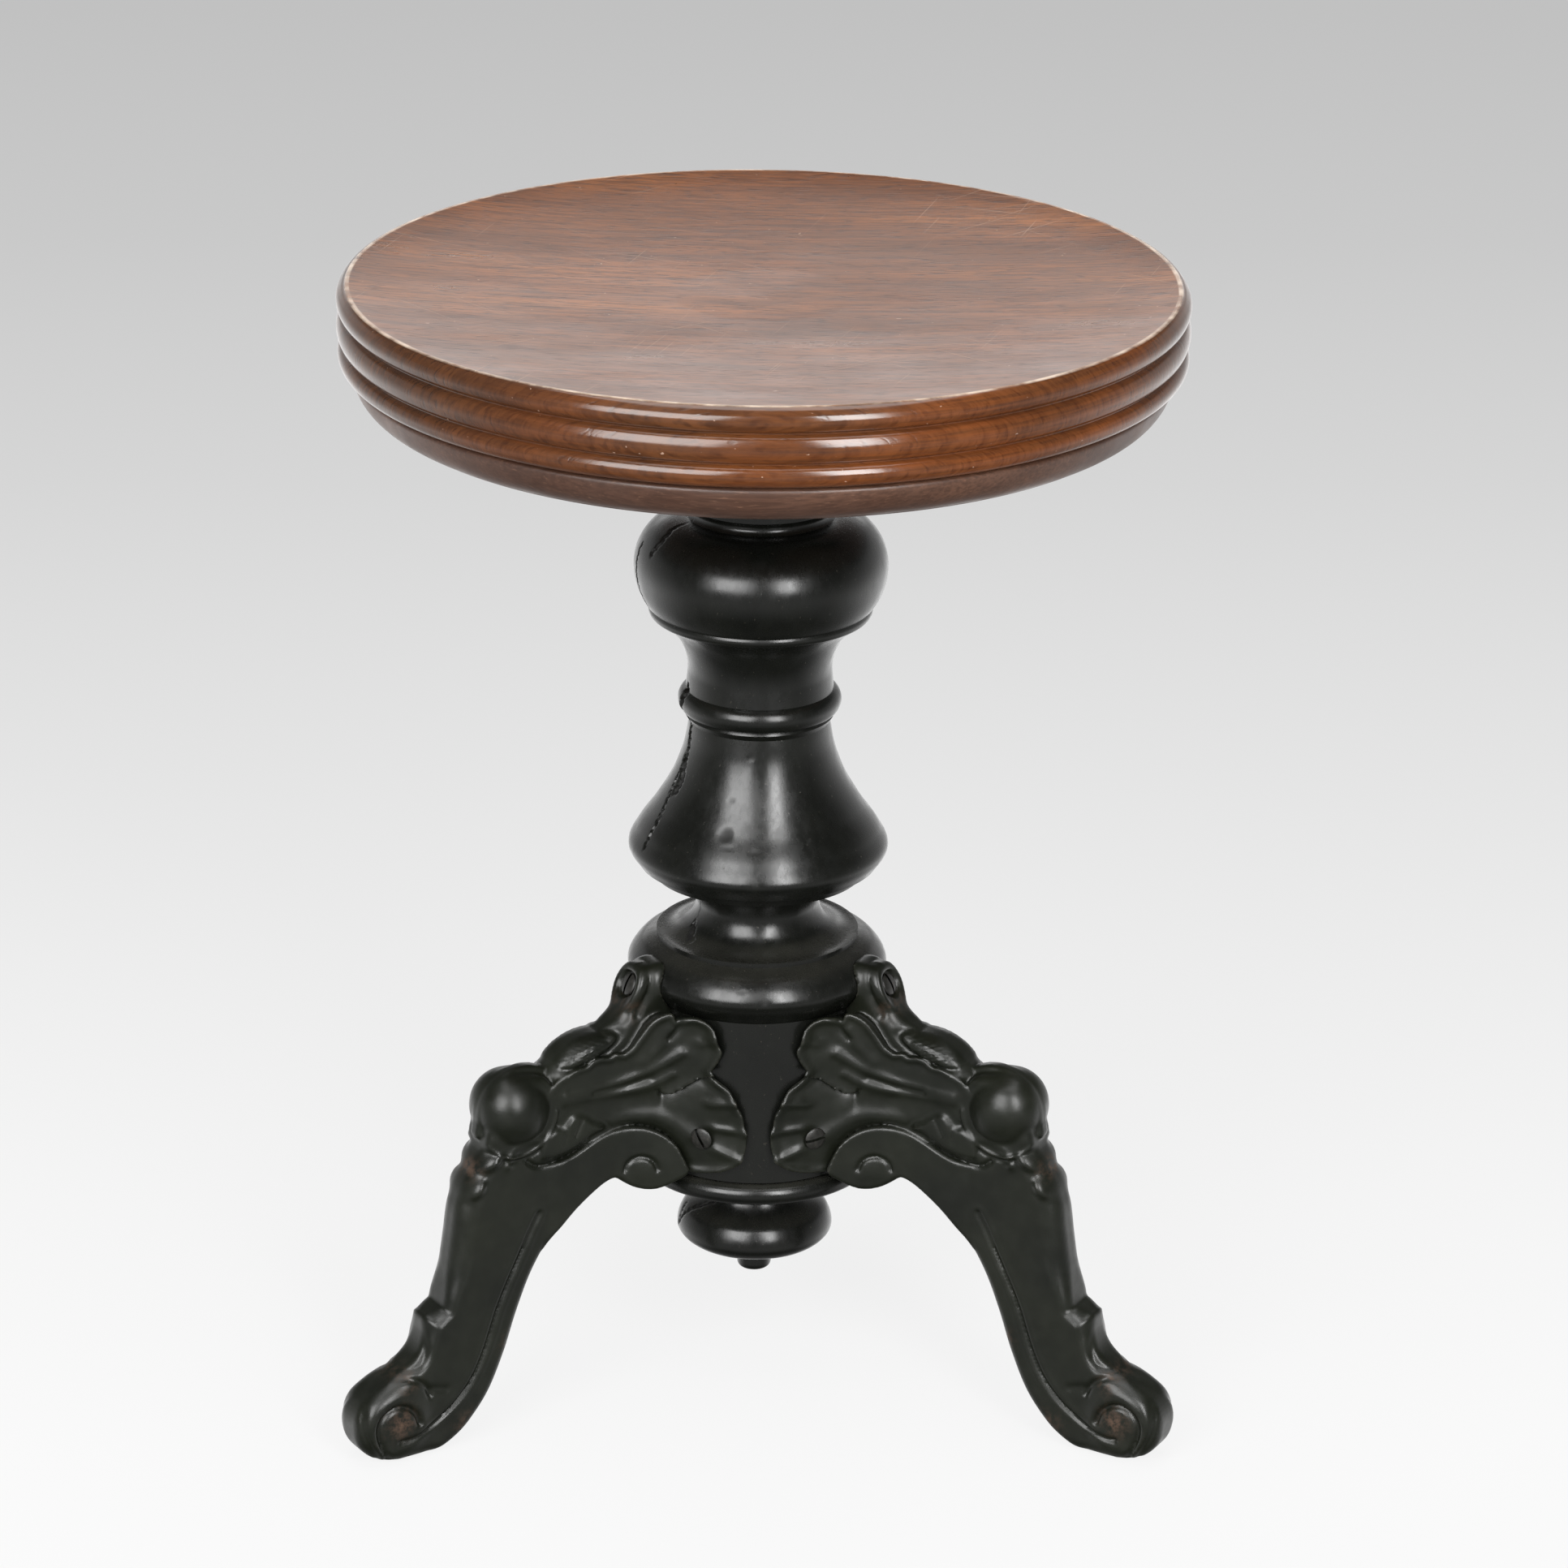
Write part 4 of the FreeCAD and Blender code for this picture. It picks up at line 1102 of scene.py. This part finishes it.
def makeSpindle():
    piece = newPiece("threadedSpindle", np.zeros((0, 3)), [])
    length = spindle["top"] - spindle["foot"]
    turns = (length - spindle["plain"] - spindle["runOut"]) / spindle["pitch"]
    sizes = {"Foot": "foot", "Core": "core", "Major": "major", "Pitch": "pitch", "Hole": "hole",
             "Hole Depth": "holeDepth", "Plain": "plain"}
    values = {title: spindle[name] * mm for title, name in sizes.items()}
    treeModifier(piece, threadTree(finishes["steel"]), {**values, "Length": length * mm, "Turns": turns})
    fixTree(piece, 35)
    dress(piece, finishes["steel"], "seat", ["spindle"])


makeSpindle()
for name in ("spindle_pin", "stop_washer", "stop_screw"):
    dressNode(name, finishes["steel"])
dressNode("spindle_nut", finishes["brass"])
print("ironwork made")

# The studio: a floor that runs back out of sight and glows, its painted light bright near the stool and
# greyer with distance
studio = {"floor": 14000.0, "softboxRise": 27.0, "softboxAway": 2300.0, "softboxHeight": 1500.0,
          "leftTurn": -29.0, "leftWidth": 1300.0, "leftPower": 60.0,
          "rightTurn": 22.0, "rightWidth": 520.0, "rightPower": 46.0,
          "topTurn": 0, "topRise": 88, "topAway": 2600, "topPower": 60.0, "topSize": 2200.0,
          "floorGlow": 0.93, "floorMatt": 0.06, "floorDepths": (-0.6, 3.0),
          "floorShades": [(0.14, "#fdfdfd"), (0.21, "#f9f9f9"), (0.29, "#f2f2f2"), (0.386, "#e8e8e8"),
                          (0.505, "#dbdbdb"), (0.653, "#cfcfcf"), (0.83, "#c8c8c8")]}
# how bright the air is by the direction's height, from straight down to straight up
airShades = {
    "aside": (0.12, 0.42), "behindFrom": (-0.3, 0.5),  # how far a direction leans to the side, and back
    "ahead": [(0.1, 0.04), (0.33, 0.48), (0.45, 0.3), (0.6, 0.1), (1.0, 0.05)],
    "behind": [(0.1, 0.2), (0.3, 1.7), (0.5, 0.7), (0.552, 0.5), (0.575, 2.9), (0.605, 3.3), (0.63, 0.7),
               (0.68, 0.1), (1.0, 0.03)],
    "wide": [(0.1, 0.2), (0.3, 1.7), (0.5, 0.7), (0.56, 0.6), (0.63, 0.45), (0.68, 0.1), (1.0, 0.03)],
}


def makeFloor():
    half = studio["floor"] / 2
    mesh = bpy.data.meshes.new("studioFloor")
    corners = [(x * half * mm, y * half * mm, 0) for x, y in ((-1, -1), (1, -1), (1, 1), (-1, 1))]
    mesh.from_pydata(corners, [], [(0, 1, 2, 3)])
    floor = bpy.data.objects.new("studioFloor", mesh)
    bpy.context.scene.collection.objects.link(floor)
    material = bpy.data.materials.new("glowing paper floor")
    material.use_nodes = True
    material.node_tree.nodes.clear()
    add = nodeAdder(material.node_tree)
    depth = add("limits", add("split", add("place")).node.outputs["Y"], *studio["floorDepths"])
    shade = add("ramp", depth, studio["floorShades"])
    # painted light: the floor glows, brightest near the stool, with only a little matt white under it to take
    # shadow
    glow = add("glow", shade, studio["floorGlow"])
    add("surface", add("both", studio["floorMatt"], glow, add("matt", "#ffffff")))
    mesh.materials.append(material)
    floor.visible_glossy = False


def makeLight(name, turn, rise, away, sizes, power):
    # turn is round the column from straight in front, rise is above the level
    lamp = bpy.data.lights.new(name, "AREA")
    lamp.shape = "RECTANGLE"
    lamp.size, lamp.size_y = sizes[0] * mm, sizes[1] * mm
    lamp.energy = power
    target = Vector((axisX, axisY, 240)) * mm
    a, e = math.radians(turn - 90), math.radians(rise)
    spot = Vector((math.cos(a) * math.cos(e), math.sin(a) * math.cos(e), math.sin(e))) * away * mm
    light = bpy.data.objects.new(name, lamp)
    light.matrix_world = Matrix.Translation(target + spot) @ spot.to_track_quat("Z", "Y").to_matrix().to_4x4()
    bpy.context.scene.collection.objects.link(light)
    return light


def makeWorld():
    # bright low down behind the stool, dim overhead and behind the camera
    world = bpy.data.worlds.new("studio air")
    bpy.context.scene.world = world
    world.use_nodes = True
    world.node_tree.nodes.clear()
    add = nodeAdder(world.node_tree)
    spot = add("split", add("way")).node.outputs
    rise = add("limits", spot["Z"], -1.0, 1.0)
    ahead, behind, wide = [add("ramp", rise, airShades[name]) for name in ("ahead", "behind", "wide")]
    behind = add("mix", add("limits", add("size", spot["X"]), *airShades["aside"]), behind, wide)
    shade = add("mix", add("limits", spot["Y"], *airShades["behindFrom"]), ahead, behind)
    add("world", add("air", shade))


makeFloor()
makeWorld()
for side in ("left", "right"):
    makeLight(side + "Softbox", studio[side + "Turn"], studio["softboxRise"], studio["softboxAway"],
              (studio[side + "Width"], studio["softboxHeight"]), studio[side + "Power"])
makeLight("topLight", studio["topTurn"], studio["topRise"], studio["topAway"], (studio["topSize"],) * 2,
          studio["topPower"])

# The camera stands well back with a long lens, level with a standing person's chest
camera = {"lens": 149.07, "sensor": 36.0, "side": 10.6, "away": 2554.0, "height": 1238.2,
          "pitch": 20.8, "roll": 0.67, "turn": -1.8}


def makeCamera():
    lens = bpy.data.cameras.new("viewCamera")
    lens.lens = camera["lens"]
    lens.sensor_width = camera["sensor"]
    lens.clip_end = 50
    eye = bpy.data.objects.new("viewCamera", lens)
    turn = Matrix.Rotation(math.radians(camera["turn"]), 4, "Z")
    stand = turn @ Vector((camera["side"], -camera["away"], 0))
    spot = Vector((stand.x + axisX, stand.y + axisY, camera["height"])) * mm
    tilt = Matrix.Rotation(math.radians(90 - camera["pitch"]), 4, "X")
    roll = Matrix.Rotation(math.radians(camera["roll"]), 4, "Z")
    eye.matrix_world = Matrix.Translation(spot) @ turn @ tilt @ roll
    bpy.context.scene.collection.objects.link(eye)
    bpy.context.scene.camera = eye


makeCamera()
view = bpy.context.scene.view_settings
view.view_transform = "Standard"
view.look = "None"
print("studio set")

bpy.context.view_layer.update()
